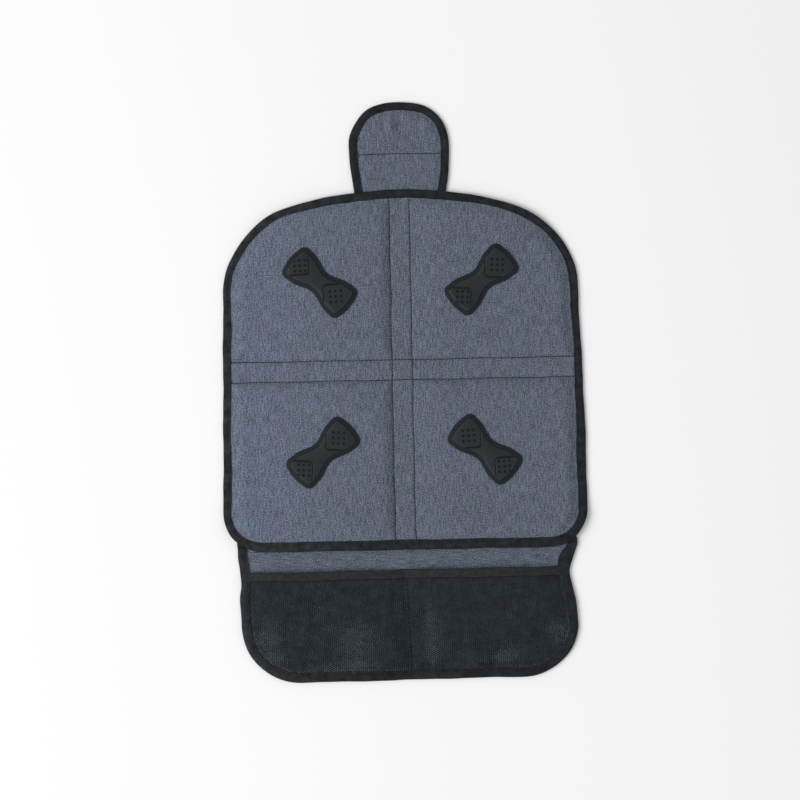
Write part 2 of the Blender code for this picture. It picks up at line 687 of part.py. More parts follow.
def build_grips(finish):
    blank = place("grip_blank", grip_blank(), finish)
    cutter = place("grip_cutter", grip_cutter(), finish)
    cutter.hide_render = True
    cutter.display_type = "WIRE"
    sunk = blank.modifiers.new("sunk", "BOOLEAN")
    sunk.operation, sunk.solver, sunk.object = "DIFFERENCE", "EXACT", cutter
    bpy.context.view_layer.update()
    cut_blank = blank.evaluated_get(bpy.context.evaluated_depsgraph_get())
    finished = bpy.data.meshes.new_from_object(cut_blank)
    finished.name = "grip"
    bpy.data.objects.remove(blank)
    bpy.data.objects.remove(cutter)
    on_the_pad = FACE_BASE + FOAM_THICK + GAP + FACE_THICK + GAP
    rear, front = PANEL_MIDDLE + GRIP_REAR_Y, PANEL_MIDDLE - GRIP_FRONT_Y
    for name, x, y, big_lobe_deg in (
        ("grip_rear_left", -GRIP_X, rear, -GRIP_ANGLE_DEG),
        ("grip_rear_right", GRIP_X, rear, GRIP_ANGLE_DEG),
        ("grip_front_left", -GRIP_X, front, GRIP_ANGLE_DEG),
        ("grip_front_right", GRIP_X, front, 180 - GRIP_ANGLE_DEG),
    ):
        grip = bpy.data.objects.new(name, finished)
        bpy.context.scene.collection.objects.link(grip)
        grip.location = (x, y, on_the_pad)
        grip.rotation_euler = (0, 0, math.radians(big_lobe_deg))


def main():
    for old in list(bpy.data.objects):
        bpy.data.objects.remove(old)
    melange = material("blue_grey_melange", (0.125, 0.142, 0.180), 0.90)
    non_slip = material("black_non_slip_cloth", (0.020, 0.021, 0.023), 0.85)
    tape = material("black_tape", (0.028, 0.030, 0.033), 0.75)
    netting = material("black_netting", (0.025, 0.029, 0.035), 0.80)
    foam = material("white_foam", (0.75, 0.75, 0.72), 0.95)
    thread = material("navy_thread", (0.018, 0.022, 0.035), 0.70)
    rubber = material("charcoal_rubber", (0.028, 0.032, 0.035), 0.60)

    build_seat_backing(non_slip)
    build_seat_face(melange)
    for end_name, end in (("rear", 1), ("front", -1)):
        for side_name, side in (("left", -1), ("right", 1)):
            build_foam_pad(f"foam_{end_name}_{side_name}", side, end, foam)
    build_quilt_thread(thread)
    build_seat_binding(tape)
    build_grips(rubber)
    build_tab(melange, non_slip, tape, thread)
    build_apron(melange, non_slip, tape)
    build_pocket_mesh(netting)
    build_pocket_hem(tape)
    build_pocket_thread(thread)


main()
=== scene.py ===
# Car seat protector, laid flat and seen from straight above
import math

import bpy
import numpy as np
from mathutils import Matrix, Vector, noise
from mathutils.bvhtree import BVHTree
from mathutils.kdtree import KDTree


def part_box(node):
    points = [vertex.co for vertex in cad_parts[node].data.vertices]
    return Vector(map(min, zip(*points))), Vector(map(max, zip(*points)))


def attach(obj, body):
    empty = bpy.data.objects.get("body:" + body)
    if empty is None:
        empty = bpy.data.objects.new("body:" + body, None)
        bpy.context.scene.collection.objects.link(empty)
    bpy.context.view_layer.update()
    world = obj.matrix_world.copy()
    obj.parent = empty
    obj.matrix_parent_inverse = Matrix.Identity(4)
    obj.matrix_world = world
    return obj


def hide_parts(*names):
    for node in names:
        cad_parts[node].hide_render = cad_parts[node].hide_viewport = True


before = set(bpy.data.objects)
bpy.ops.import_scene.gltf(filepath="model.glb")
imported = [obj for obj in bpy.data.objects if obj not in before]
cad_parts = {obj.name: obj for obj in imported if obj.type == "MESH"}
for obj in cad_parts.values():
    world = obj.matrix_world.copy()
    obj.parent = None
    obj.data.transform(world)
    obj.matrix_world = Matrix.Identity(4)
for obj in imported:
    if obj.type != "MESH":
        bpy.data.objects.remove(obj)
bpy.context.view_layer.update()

# Helpers for picking, placing and measuring

farOff = 0.1  # a height that is clear of the mat on either side


def pickNothing():
    bpy.ops.object.select_all(action="DESELECT")
    bpy.context.view_layer.objects.active = None


def pick(obj):
    pickNothing()
    obj.select_set(True)
    bpy.context.view_layer.objects.active = obj


def surfaceOf(obj):
    mesh = obj.data
    return BVHTree.FromPolygons([v.co.copy() for v in mesh.vertices], [p.vertices[:] for p in mesh.polygons])


def topAt(tree, x, y):
    hit = tree.ray_cast(Vector((x, y, farOff)), Vector((0, 0, -1)))[0]
    return hit.z if hit else math.nan


def undersideAt(tree, x, y):
    hit = tree.ray_cast(Vector((x, y, -farOff)), Vector((0, 0, 1)))[0]
    return hit.z if hit else math.nan


def middleOf(node):
    low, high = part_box(node)
    return (low + high) / 2


def wave(s, size, seed):
    # smooth noise along a line, from about -1 to 1
    return noise.noise(Vector((s / size, seed * 7.31, seed * 3.17)))


def patchy(x, y, sizeX, sizeY, level):
    return noise.noise(Vector((x / sizeX, y / sizeY, level)))


def field(x, y, size, seed):
    return patchy(x, y, size, size, seed * 5.77)


def smoothStep(value, low, high):
    t = np.clip((value - low) / (high - low), 0, 1)
    return t * t * (3 - 2 * t)


def newPiece(name, points, faces, material, slot, *nodes):
    mesh = bpy.data.meshes.new(name)
    mesh.from_pydata([tuple(p) for p in points], [], faces)
    mesh.validate()
    mesh.materials.append(material)
    mesh.shade_smooth()
    piece = bpy.data.objects.new(name, mesh)
    bpy.context.scene.collection.objects.link(piece)
    dress(piece, slot, *nodes)
    return piece


def dress(piece, slot, *nodes):
    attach(piece, "root")
    if nodes:
        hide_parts(*nodes)


def setMode(mode):
    bpy.ops.object.mode_set(mode=mode)


def editParts(obj, kind, wanted):
    # opens a mesh for editing with some of its faces or edges selected
    setMode("EDIT")
    bpy.ops.mesh.select_mode(type=kind)
    bpy.ops.mesh.select_all(action="DESELECT")
    setMode("OBJECT")
    for part in obj.data.polygons if kind == "FACE" else obj.data.edges:
        part.select = wanted(part)
    setMode("EDIT")


def faceOut(piece):
    # turns a closed mesh right side out
    pick(piece)
    setMode("EDIT")
    bpy.ops.mesh.select_all(action="SELECT")
    bpy.ops.mesh.normals_make_consistent(inside=False)
    setMode("OBJECT")
    pickNothing()


def applyModifier(piece, kind, **settings):
    pick(piece)
    modifier = piece.modifiers.new(kind, kind)
    for name, value in settings.items():
        setattr(modifier, name, value)
    bpy.ops.object.modifier_apply(modifier=modifier.name)
    pickNothing()


# Shader node groups that several finishes share

white, grey = (1, 1, 1, 1), (0.1, 0.1, 0.1, 1)


def plug(tree, socket, value):
    # links the output of another node, or sets a value
    if hasattr(value, "is_output"):
        tree.links.new(value, socket)
    else:
        socket.default_value = value


def feed(tree, node, **values):
    for label, value in values.items():
        plug(tree, node.inputs[label.replace("_", " ")], value)
    return node


def addNode(tree, kind, **values):
    return feed(tree, tree.nodes.new(kind), **values)


def newGroup(name, inputs, outputs):
    # an input without a value is a vector, one with a number a float, and the rest are colours
    group = bpy.data.node_groups.new(name, "ShaderNodeTree")
    for label, value in inputs.items():
        kind = "Vector" if value is None else "Float" if isinstance(value, float) else "Color"
        socket = group.interface.new_socket(label, in_out="INPUT", socket_type="NodeSocket" + kind)
        if value is not None:
            socket.default_value = value
    for label in outputs:
        kind = "Color" if label == "Color" else "Float"
        group.interface.new_socket(label, in_out="OUTPUT", socket_type="NodeSocket" + kind)
    return group, group.nodes.new("NodeGroupInput").outputs, group.nodes.new("NodeGroupOutput")


def mathNode(tree, operation, *values, kind="ShaderNodeMath"):
    node = tree.nodes.new(kind)
    node.operation = operation
    for socket, value in zip(node.inputs, values):
        if value is not None:
            plug(tree, socket, value)
    return node.outputs[0]


def mixColour(tree, factor, a, b, blend="MIX"):
    node = tree.nodes.new("ShaderNodeMix")
    node.data_type = "RGBA"
    node.blend_type = blend
    for socket, value in ((node.inputs["Factor"], factor), (node.inputs[6], a), (node.inputs[7], b)):
        plug(tree, socket, value)
    return node.outputs[2]


def stretchedNoise(tree, vector, scale, detail=2.0, rough=0.5):
    place = addNode(tree, "ShaderNodeMapping", Scale=scale, Vector=vector).outputs[0]
    made = addNode(tree, "ShaderNodeTexNoise", Scale=1.0, Detail=detail, Roughness=rough, Vector=place)
    return made.outputs["Fac"]


def ramp(tree, value, low, high):
    return addNode(tree, "ShaderNodeMapRange", From_Min=low, From_Max=high, Value=value).outputs["Result"]


def makeWeave():
    # crossing threads, as a height from 0 to 1
    inputs = {"Vector": None, "Pitch X": 0.001, "Pitch Y": 0.001}
    group, given, out = newGroup("wovenThreads", inputs, ["Height"])
    split = addNode(group, "ShaderNodeSeparateXYZ", Vector=given["Vector"])
    waves = []
    for axis in "XY":
        turns = mathNode(group, "DIVIDE", split.outputs[axis], given["Pitch " + axis])
        waves.append(mathNode(group, "SINE", mathNode(group, "MULTIPLY", turns, 2 * math.pi)))
    crossed = mathNode(group, "MULTIPLY", *waves)
    feed(group, out, Height=mathNode(group, "MULTIPLY_ADD", crossed, 0.5, 0.5))
    return group


def makeYarn():
    # yarns of mixed shades that run along Y, with slow drifts of hue and depth
    inputs = {"Vector": None, "Light": white, "Dark": grey, "Cool": white, "Warm": white}
    group, given, out = newGroup("melangeYarns", inputs, ["Color", "Height"])
    # the scale, detail and roughness of each noise, and the values between which it turns
    noises = {
        "long": ((660, 74, 1), 3, 0.6, 0.43, 0.57),
        "short": ((700, 610, 1), 2, 0.7, 0.44, 0.56),
        "cross": ((380, 900, 1), 2, 0.6, 0.40, 0.60),
        "hue": ((30, 21, 1), 3, 0.6, 0.36, 0.64),
        "depth": ((95, 34, 1), 3, 0.6, 0.30, 0.70),
    }
    part = {
        name: ramp(group, stretchedNoise(group, given["Vector"], scale, detail, rough), low, high)
        for name, (scale, detail, rough, low, high) in noises.items()
    }
    total = 0.0
    for name, share in (("long", 0.26), ("short", 0.48), ("cross", 0.17), ("depth", 0.09)):
        total = mathNode(group, "MULTIPLY_ADD", part[name], share, total)
    yarns = mixColour(group, total, given["Dark"], given["Light"])
    tint = mixColour(group, part["hue"], given["Cool"], given["Warm"])
    feed(group, out, Color=mixColour(group, 1.0, yarns, tint, "MULTIPLY"), Height=part["short"])
    return group


def makeSpeck():
    # one colour with fine light and dark specks
    inputs = {"Vector": None, "Color": grey, "Size": 0.001, "Amount": 0.3}
    group, given, out = newGroup("speckledColour", inputs, ["Color", "Mask"])
    scaled = mathNode(group, "DIVIDE", given["Vector"], given["Size"], kind="ShaderNodeVectorMath")
    speck = ramp(group, stretchedNoise(group, scaled, (1, 1, 1), 3, 0.65), 0.3, 0.7)
    swing = mathNode(group, "MULTIPLY", mathNode(group, "SUBTRACT", speck, 0.5), given["Amount"])
    gain = mathNode(group, "MULTIPLY_ADD", swing, 2.0, 1.0)
    brighter = mathNode(group, "SCALE", given["Color"], None, None, gain, kind="ShaderNodeVectorMath")
    feed(group, out, Color=brighter, Mask=speck)
    return group


def makePaintedSideLight():
    # painted light and shade: the colour is multiplied by one shade at the left of the mat and another over
    # the rest, for the key light that falls off from left to right
    inputs = {"Vector": None, "Color": grey, "Left": white, "Rest": white}
    group, given, out = newGroup("paintedSideLight", inputs, ["Color"])
    split = addNode(group, "ShaderNodeSeparateXYZ", Vector=given["Vector"])
    side = ramp(group, split.outputs["X"], -0.17, -0.03)
    shade = mixColour(group, side, given["Left"], given["Rest"])
    feed(group, out, Color=mixColour(group, 1.0, given["Color"], shade, "MULTIPLY"))
    return group


wovenThreads = makeWeave()
melangeYarns = makeYarn()
speckledColour = makeSpeck()
paintedSideLight = makePaintedSideLight()
print("shader groups made")

# Finishes


def startFinish(name, roughness, specular=0.18):
    material = bpy.data.materials.new(name)
    material.use_nodes = True
    tree = material.node_tree
    shader = feed(tree, tree.nodes["Principled BSDF"], Roughness=roughness, Specular_IOR_Level=specular)
    return material, tree, shader


def placeGroup(tree, group, **values):
    node = tree.nodes.new("ShaderNodeGroup")
    node.node_tree = group
    return feed(tree, node, **values).outputs


def placeOf(tree, kind="Object"):
    return tree.nodes.new("ShaderNodeTexCoord").outputs[kind]


def speckle(tree, colour, size, amount):
    return placeGroup(tree, speckledColour, Vector=placeOf(tree), Color=colour, Size=size, Amount=amount)


# paints the light that falls off from the left of the mat into a colour
def paintSideLight(tree, colour, left, rest):
    return placeGroup(tree, paintedSideLight, Vector=placeOf(tree), Color=colour, Left=left, Rest=rest)["Color"]


def addBump(tree, shader, height, distance, strength, before=None):
    bump = addNode(tree, "ShaderNodeBump", Strength=strength, Distance=distance, Height=height)
    if before:
        feed(tree, bump, Normal=before.outputs[0])
    feed(tree, shader, Normal=bump.outputs[0])
    return bump


faceLook = {
    "yarns": {
        "Light": (0.218, 0.258, 0.338, 1), "Dark": (0.022, 0.026, 0.039, 1),
        "Cool": (0.96, 1.02, 1.00, 1), "Warm": (1.03, 0.985, 1.01, 1),
    },
    # painted light and shade: the cloth is painted paler at the left of the mat and darker over the rest,
    # where less of the key light falls
    "leftPaintedLight": (1.04, 1.03, 1.045, 1), "restPaintedShade": (0.925, 0.912, 0.895, 1),
    "bandPaintedShade": (0.86, 0.85, 0.84, 1), "pitch": 0.0011, "bump": 0.00012,
}


def finishFace(name, turn, leftPaintedLight, restPaintedShade):
    # turn lays the yarns along another direction
    material, tree, shader = startFinish(name, 0.95)
    place = addNode(tree, "ShaderNodeMapping", Rotation=(0, 0, turn), Vector=placeOf(tree)).outputs[0]
    yarns = placeGroup(tree, melangeYarns, Vector=place, **faceLook["yarns"])
    feed(tree, shader, Base_Color=paintSideLight(tree, yarns["Color"], leftPaintedLight, restPaintedShade))
    pitch, bump = faceLook["pitch"], faceLook["bump"]
    threads = placeGroup(tree, wovenThreads, Vector=place, Pitch_X=pitch, Pitch_Y=pitch)
    fine = addBump(tree, shader, threads["Height"], bump, 0.6)
    addBump(tree, shader, yarns["Height"], bump, 0.6, fine)
    return material


def finishBlackCloth(name, colour, pitch, roughness, speckSize, drift=0.4, kind="Object", sides=None):
    material, tree, shader = startFinish(name, roughness)
    shown = speckle(tree, colour, speckSize, drift)["Color"]
    # sides, when given, paints light and shade into the colour, lighter at the left of the mat and darker
    # over the rest
    feed(tree, shader, Base_Color=paintSideLight(tree, shown, *sides) if sides else shown)
    threads = placeGroup(tree, wovenThreads, Vector=placeOf(tree, kind), Pitch_X=pitch[0], Pitch_Y=pitch[1])
    addBump(tree, shader, threads["Height"], 0.00020, 0.8)
    return material


rubberLook = {
    # the flange colour is the darker rubber of the flange, and is also painted shade in the sunk grooves and
    # holes
    "body": (0.0117, 0.0154, 0.0182, 1), "flangeAndHollowShade": (0.0034, 0.0064, 0.0096, 1),
    # the crest colour is a painted highlight along the crown's edge, where the light catches it
    "crest": (0.0290, 0.0360, 0.0400, 1), "grain": (2600, 2600, 2600), "wear": (60, 60, 60),
}


def finishRubber():
    material, tree, shader = startFinish("charcoalRubber", 0.5, 0.3)
    shade = rubberLook["body"]
    for part in ("flangeAndHollowShade", "crest"):
        mask = tree.nodes.new("ShaderNodeAttribute")
        mask.attribute_name = part
        shade = mixColour(tree, mask.outputs["Fac"], shade, rubberLook[part])
    feed(tree, shader, Base_Color=speckle(tree, shade, 0.003, 0.25)["Color"])
    addBump(tree, shader, stretchedNoise(tree, placeOf(tree), rubberLook["grain"]), 0.00005, 0.5)
    rough = ramp(tree, stretchedNoise(tree, placeOf(tree), rubberLook["wear"], 3), 0.3, 0.7)
    feed(tree, shader, Roughness=mathNode(tree, "MULTIPLY_ADD", rough, 0.14, 0.44))
    return material


def finishSpeckled(name, colour, roughness, speckSize, drift, bump=0.0):
    # thread and foam
    material, tree, shader = startFinish(name, roughness)
    specks = speckle(tree, colour, speckSize, drift)
    feed(tree, shader, Base_Color=specks["Color"])
    if bump:
        addBump(tree, shader, specks["Mask"], bump, 0.5)
    return material


faceCloth = finishFace("blueGreyMelange", 0.0, faceLook["leftPaintedLight"], faceLook["restPaintedShade"])
# the band below the panel is painted darker still, as painted shade from the panel's tape beside it
crossCloth = finishFace("blueGreyMelangeCross", math.pi / 2, faceLook["restPaintedShade"], faceLook["bandPaintedShade"])
# painted light: the tape is painted lighter at the left of the mat, where the key light catches it, and
# darker over the rest
tapeCloth = finishBlackCloth(
    "blackTape", (0.0138, 0.0164, 0.0193, 1), (0.0011, 0.0007), 0.7, 0.0110, 0.7, "UV",
    sides=((1.42, 1.38, 1.34, 1), (0.88, 0.93, 0.97, 1)),
)
hemTape = finishBlackCloth(
    "blackElasticHem", (0.0212, 0.0236, 0.0268, 1), (0.0013, 0.0009), 0.8, 0.0060, kind="UV",
)
netCord = finishBlackCloth("blackNetting", (0.0162, 0.0216, 0.0262, 1), (0.0006, 0.0006), 0.7, 0.0120, 0.5)
nonSlip = finishBlackCloth("blackNonSlip", (0.018, 0.019, 0.021, 1), (0.004, 0.004), 0.75, 0.0020)
rubber = finishRubber()
quiltingThread = finishSpeckled("navyThread", (0.006, 0.008, 0.014, 1), 0.7, 0.0008, 0.4)
tapeThread = finishSpeckled("blackThread", (0.012, 0.013, 0.016, 1), 0.7, 0.0008, 0.4)
foam = finishSpeckled("whiteFoam", (0.7, 0.7, 0.66, 1), 0.95, 0.002, 0.1, 0.0003)
print("finishes made")

# Outlines of the three bound pieces, from their boxes and the radii of their corners


def arcPoints(centreX, centreY, radius, start, end, step=2.0):
    count = max(2, round(abs(end - start) / step))
    return [
        (centreX + radius * math.cos(math.radians(a)), centreY + radius * math.sin(math.radians(a)))
        for a in np.linspace(start, end, count + 1)
    ]


def mirroredRun(rightSide):
    # a point on the middle line isn't doubled
    return rightSide + [(-x, y) for x, y in reversed(rightSide) if x > 0.0004]


def crownedSide(box, rearWidth, crown, corner):
    # the rear half of an outline: a shallow crown with a round corner beside it
    rear = box[1].y
    cornerX = rearWidth / 2 - corner
    reach = crown - corner
    lean = math.degrees(math.asin(cornerX / reach))
    cornerY = rear - crown + reach * math.cos(math.radians(lean))
    return cornerX, cornerY, rear - crown, 90 - lean


panelLook = {"rearWidth": 0.4630, "crown": 0.5650, "rearCorner": 0.1130, "frontCorner": 0.0500}
tabLook = {"crown": 0.1050, "corner": 0.0500, "taper": 5.0, "hiddenCorner": 0.0145}
apronLook = {
    "width": 0.4360, "corner": 0.0750, "flare": 0.0035, "waistDepth": 0.0073, "waistLength": 0.0220,
    "hiddenCorner": 0.0145,
}


def panelRun():
    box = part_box("seat_binding")
    front, rear, crown = panelLook["frontCorner"], panelLook["rearCorner"], panelLook["crown"]
    run = arcPoints(box[1].x - front, box[0].y + front, front, -90, 0)
    x, y, crownY, turn = crownedSide(box, panelLook["rearWidth"], crown, rear)
    run += arcPoints(x, y, rear, 0, turn)
    run += arcPoints(0, crownY, crown, turn, 90, 0.5)[1:]
    return mirroredRun(run)


def tabRun():
    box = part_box("tab_binding")
    taper, hidden = math.radians(tabLook["taper"]), tabLook["hiddenCorner"]
    x, y, crownY, turn = crownedSide(box, box[1].x - box[0].x, tabLook["crown"], tabLook["corner"])
    rootY = box[0].y + hidden
    rootX = x + (tabLook["corner"] - hidden) / math.cos(taper) - (y - rootY) * math.tan(taper)
    run = arcPoints(rootX, rootY, hidden, -90, -tabLook["taper"], 6)
    run += arcPoints(x, y, tabLook["corner"], -tabLook["taper"], turn)
    run += arcPoints(0, crownY, tabLook["crown"], turn, 90, 1)[1:]
    return mirroredRun(run)


def apronHalfWidth(y):
    front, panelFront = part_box("apron_binding")[0].y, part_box("seat_binding")[0].y
    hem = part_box("pocket_hem")
    waist = math.exp(-(((y - (hem[0].y + hem[1].y) / 2) / apronLook["waistLength"]) ** 2))
    plain = apronLook["width"] / 2 + apronLook["flare"] * (y - front) / (panelFront - front)
    return plain - apronLook["waistDepth"] * waist


def apronRun():
    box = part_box("apron_binding")
    corner, hidden = apronLook["corner"], apronLook["hiddenCorner"]
    frontY, rootY = box[0].y + corner, box[1].y - hidden
    run = arcPoints(apronHalfWidth(frontY) - corner, frontY, corner, -90, 0)
    run += [(apronHalfWidth(y), y) for y in np.linspace(frontY, rootY, 60)[1:-1]]
    run += arcPoints(apronHalfWidth(rootY) - hidden, rootY, hidden, 0, 90, 6)
    return mirroredRun(run)


def lengthsAlong(points):
    return np.concatenate([[0], np.cumsum(np.hypot(*np.diff(points, axis=0).T))])


def evenSteps(run, spacing, closed=True):
    # even steps along a run, with the direction that points inwards at each
    points = np.array(run + run[:1] if closed else run)
    lengths = lengthsAlong(points)
    count = round(lengths[-1] / spacing)
    along = np.linspace(0, lengths[-1], count + 1)
    even = np.stack([np.interp(along, lengths, points[:, k]) for k in (0, 1)], axis=1)
    if closed:
        even, along = even[:-1], along[:-1]
        ahead = np.roll(even, -1, axis=0) - np.roll(even, 1, axis=0)
    else:
        ahead = np.gradient(even, axis=0)
    ahead /= np.linalg.norm(ahead, axis=1)[:, None]
    return {
        "points": even, "inward": np.stack([-ahead[:, 1], ahead[:, 0]], axis=1), "along": along,
        "length": lengths[-1], "closed": closed,
    }


def fillGaps(values, closed):
    values = np.array(values, float)
    known = np.flatnonzero(~np.isnan(values))
    period = len(values) if closed else None
    return np.interp(np.arange(len(values)), known, values[known], period=period)


def smoothRun(values, closed, reach):
    padded = np.pad(values, reach, mode="wrap" if closed else "edge")
    kernel = np.hanning(2 * reach + 3)[1:-1]
    return np.convolve(padded, kernel / kernel.sum(), mode="valid")


# Folded tape


def tapeDrift(steps, i, look):
    # a slow and a quick unevenness at one place along a tape
    s, seed = steps["along"][i], look["seed"]
    if not steps["closed"]:
        return wave(s, look["slowWave"], seed), wave(s, look["quickWave"], seed + 4)
    # noise read round a circle meets itself at the end
    reach = steps["length"] / (2 * math.pi)
    place = Vector((math.cos(s / reach), math.sin(s / reach), seed * 0.37)) * reach
    apart = Vector((9.1, 3.3, 0))
    return noise.noise(place / look["slowWave"]), noise.noise(place / look["quickWave"] + apart)


def tapeWidth(steps, i, look, unevenness):
    px, py = steps["points"][i] * 1000
    nx, ny = steps["inward"][i]
    side, front, rear = look["widths"]
    width = side * nx * nx + (front if ny > 0 else rear) * ny * ny
    width -= look["cornerPull"] * (2 * nx * ny) ** 2
    for x, y, reach, change in look.get("places", ()):
        width += change / 1000 * math.exp(-((px - x) ** 2 + (py - y) ** 2) / reach**2)
    return width + unevenness * look["widthDrift"]


def lapLift(steps, i, look):
    # the tape's end lies over its start, so it steps up on one side and dips on the other
    if "lap" not in look:
        return 0.0
    px, py = steps["points"][i] * 1000
    lapX, fromY = look["lap"]
    beyond = (px - lapX) / look["lapReach"]
    return look["lapSteps"][beyond > 0] * math.exp(-abs(beyond)) * (py > fromY)


def tapeSection(width, height, lift, look):
    # closed pairs: how far in from the fold and how high above the tape's underside
    thick, crown, seam = look["thick"], height + look["crown"], width - look["stitch"]
    half, rim = height / 2, width - 0.0001
    inner = half - thick
    outside, inside = [[(math.sin(a), math.cos(a)) for a in np.linspace(0, math.pi, n)] for n in (8, 5)]
    nose = [(half * (1 - 0.92 * s) - 0.0001, half * (1 - c)) for s, c in outside]
    upper = [
        (0.34 * width, crown + 0.6 * lift), (0.48 * width, height + 1.2 * look["crown"] + lift),
        (0.62 * width, crown + lift), (seam - 0.0011, height + lift),
        (seam, height - look["dent"] + 0.5 * lift), (seam + 0.0010, height - 0.00005 + 0.5 * lift),
        (width - 0.0003, height - 0.0001), (width, height - 0.35 * thick), (rim, height - thick),
    ]
    hollow = [(half - inner * s, half + inner * c) for s, c in inside]
    return [(rim, 0.0), (0.5 * width, 0.0)] + nose + upper + hollow + [(rim, thick), (width, thick * 0.6)]


def sweepTape(name, node, steps, look, material=tapeCloth):
    tree = surfaceOf(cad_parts[node])
    closed, count = steps["closed"], len(steps["along"])
    probe = steps["points"] + steps["inward"] * look["width"] * 0.5
    top = fillGaps([topAt(tree, x, y) for x, y in probe], closed)
    if "height" in look:
        low = top - look["height"]
    else:
        low = fillGaps([undersideAt(tree, x, y) for x, y in probe], closed)
    top, low = smoothRun(top, closed, 6), smoothRun(low, closed, 6)
    rings = []
    for i in range(count):
        slow, quick = tapeDrift(steps, i, look)
        width = tapeWidth(steps, i, look, slow + 0.4 * quick)
        lift = quick * look["ripple"] + lapLift(steps, i, look)
        (px, py), (nx, ny) = steps["points"][i], steps["inward"][i]
        section = tapeSection(width, top[i] - low[i], lift, look)
        rings.append([(px + nx * u, py + ny * u, low[i] + z) for u, z in section])
    size = len(rings[0])
    faces, loopUv = [], []
    around = [0.0]
    for a, b in zip(rings[0], rings[0][1:] + rings[0][:1]):
        around.append(around[-1] + math.dist(a, b))
    for i in range(count if closed else count - 1):
        j = (i + 1) % count
        here = steps["along"][i]
        there = steps["length"] if j == 0 else steps["along"][j]
        for k in range(size):
            m = (k + 1) % size
            faces.append((i * size + k, i * size + m, j * size + m, j * size + k))
            loopUv += [(here, around[k]), (here, around[k + 1]), (there, around[k + 1]), (there, around[k])]
    if not closed:
        faces += [tuple(range(size - 1, -1, -1)), tuple(range((count - 1) * size, count * size))]
        loopUv += [(0, 0)] * (2 * size)
    piece = newPiece(name, [p for ring in rings for p in ring], faces, material, "binding_tape", node)
    layer = piece.data.uv_layers.new(name="tapeMap")
    layer.data.foreach_set("uv", np.array(loopUv, np.float32).ravel())
    faceOut(piece)
    return piece


# widths are those at the sides, along the front and along the rear
tapeLook = {
    "width": 0.0115, "widths": (0.0108, 0.0130, 0.0114), "cornerPull": 0.0008, "thick": 0.0008,
    "stitch": 0.0022, "crown": 0.00032, "dent": 0.00036, "ripple": 0.00022, "widthDrift": 0.0005,
    "slowWave": 0.045, "quickWave": 0.011, "step": 0.0024, "lapReach": 1.6, "lapSteps": (-0.0004, 0.0005),
}
hemLook = dict(
    tapeLook, width=0.0137, widths=[0.0137] * 3, cornerPull=0.0, height=0.0026, stitch=0.0015,
    ripple=0.00030, quickWave=0.0055, widthDrift=0.0003, dent=0.0010, seed=4, step=0.0012,
)

panelSteps = evenSteps(panelRun(), tapeLook["step"])
tabSteps = evenSteps(tabRun(), tapeLook["step"])
apronSteps = evenSteps(apronRun(), tapeLook["step"])

# each place is a spot, how far it reaches and how much wider the tape is there, in millimetres
panelTapeLook = dict(tapeLook, seed=1, lap=(-14, 200), places=[
    (-232, 140, 45, -1.3), (-235, -45, 35, -1.2), (-148, 242, 35, -1.6), (120, 249, 35, -1.8),
    (232, 68, 28, -1.3), (236, -88, 50, 1.5), (236, -165, 30, 1.0), (230, 146, 20, 0.8),
])
tabTapeLook = dict(
    tapeLook, seed=2, widths=(0.0112, 0.0112, 0.0108), lap=(-14, 330), places=[(66, 299, 40, -1.0)],
)
apronTapeLook = dict(tapeLook, seed=3, widths=(0.0120, 0.0125, 0.0115), places=[(212, -223, 15, 7.0)])
panelTape = sweepTape("panelTape", "seat_binding", panelSteps, panelTapeLook)
tabTape = sweepTape("tabTape", "tab_binding", tabSteps, tabTapeLook)
apronTape = sweepTape("apronTape", "apron_binding", apronSteps, apronTapeLook)
tapes = (panelTape, panelSteps), (tabTape, tabSteps), (apronTape, apronSteps)
print("tapes swept")

# Cloth sheets, draped over the frame's own surfaces


def gradedLine(low, high, look, seams):
    # places along one axis, closer together near the seams and with one on each seam
    stops = sorted({low, high, *[s for s in seams if low < s < high]})
    line = [low]
    for a, b in zip(stops, stops[1:]):
        along = np.linspace(a, b, 600)
        nearest = np.min(np.abs(along[:, None] - np.array(seams or [9.0])[None, :]), axis=1)
        coarse = np.clip(nearest / look["fineReach"], 0, 1)
        spacing = look["fineStep"] + (look["step"] - look["fineStep"]) * coarse
        turns = np.concatenate([[0], np.cumsum(np.diff(along) / ((spacing[1:] + spacing[:-1]) / 2))])
        count = max(1, round(turns[-1]))
        line.extend(np.interp(np.linspace(0, turns[-1], count + 1)[1:], turns, along))
    return np.array(line)


def edgeFinder(steps):
    finder = KDTree(len(steps["points"]))
    for i, (x, y) in enumerate(steps["points"]):
        finder.insert((x, y, 0), i)
    finder.balance()
    return finder


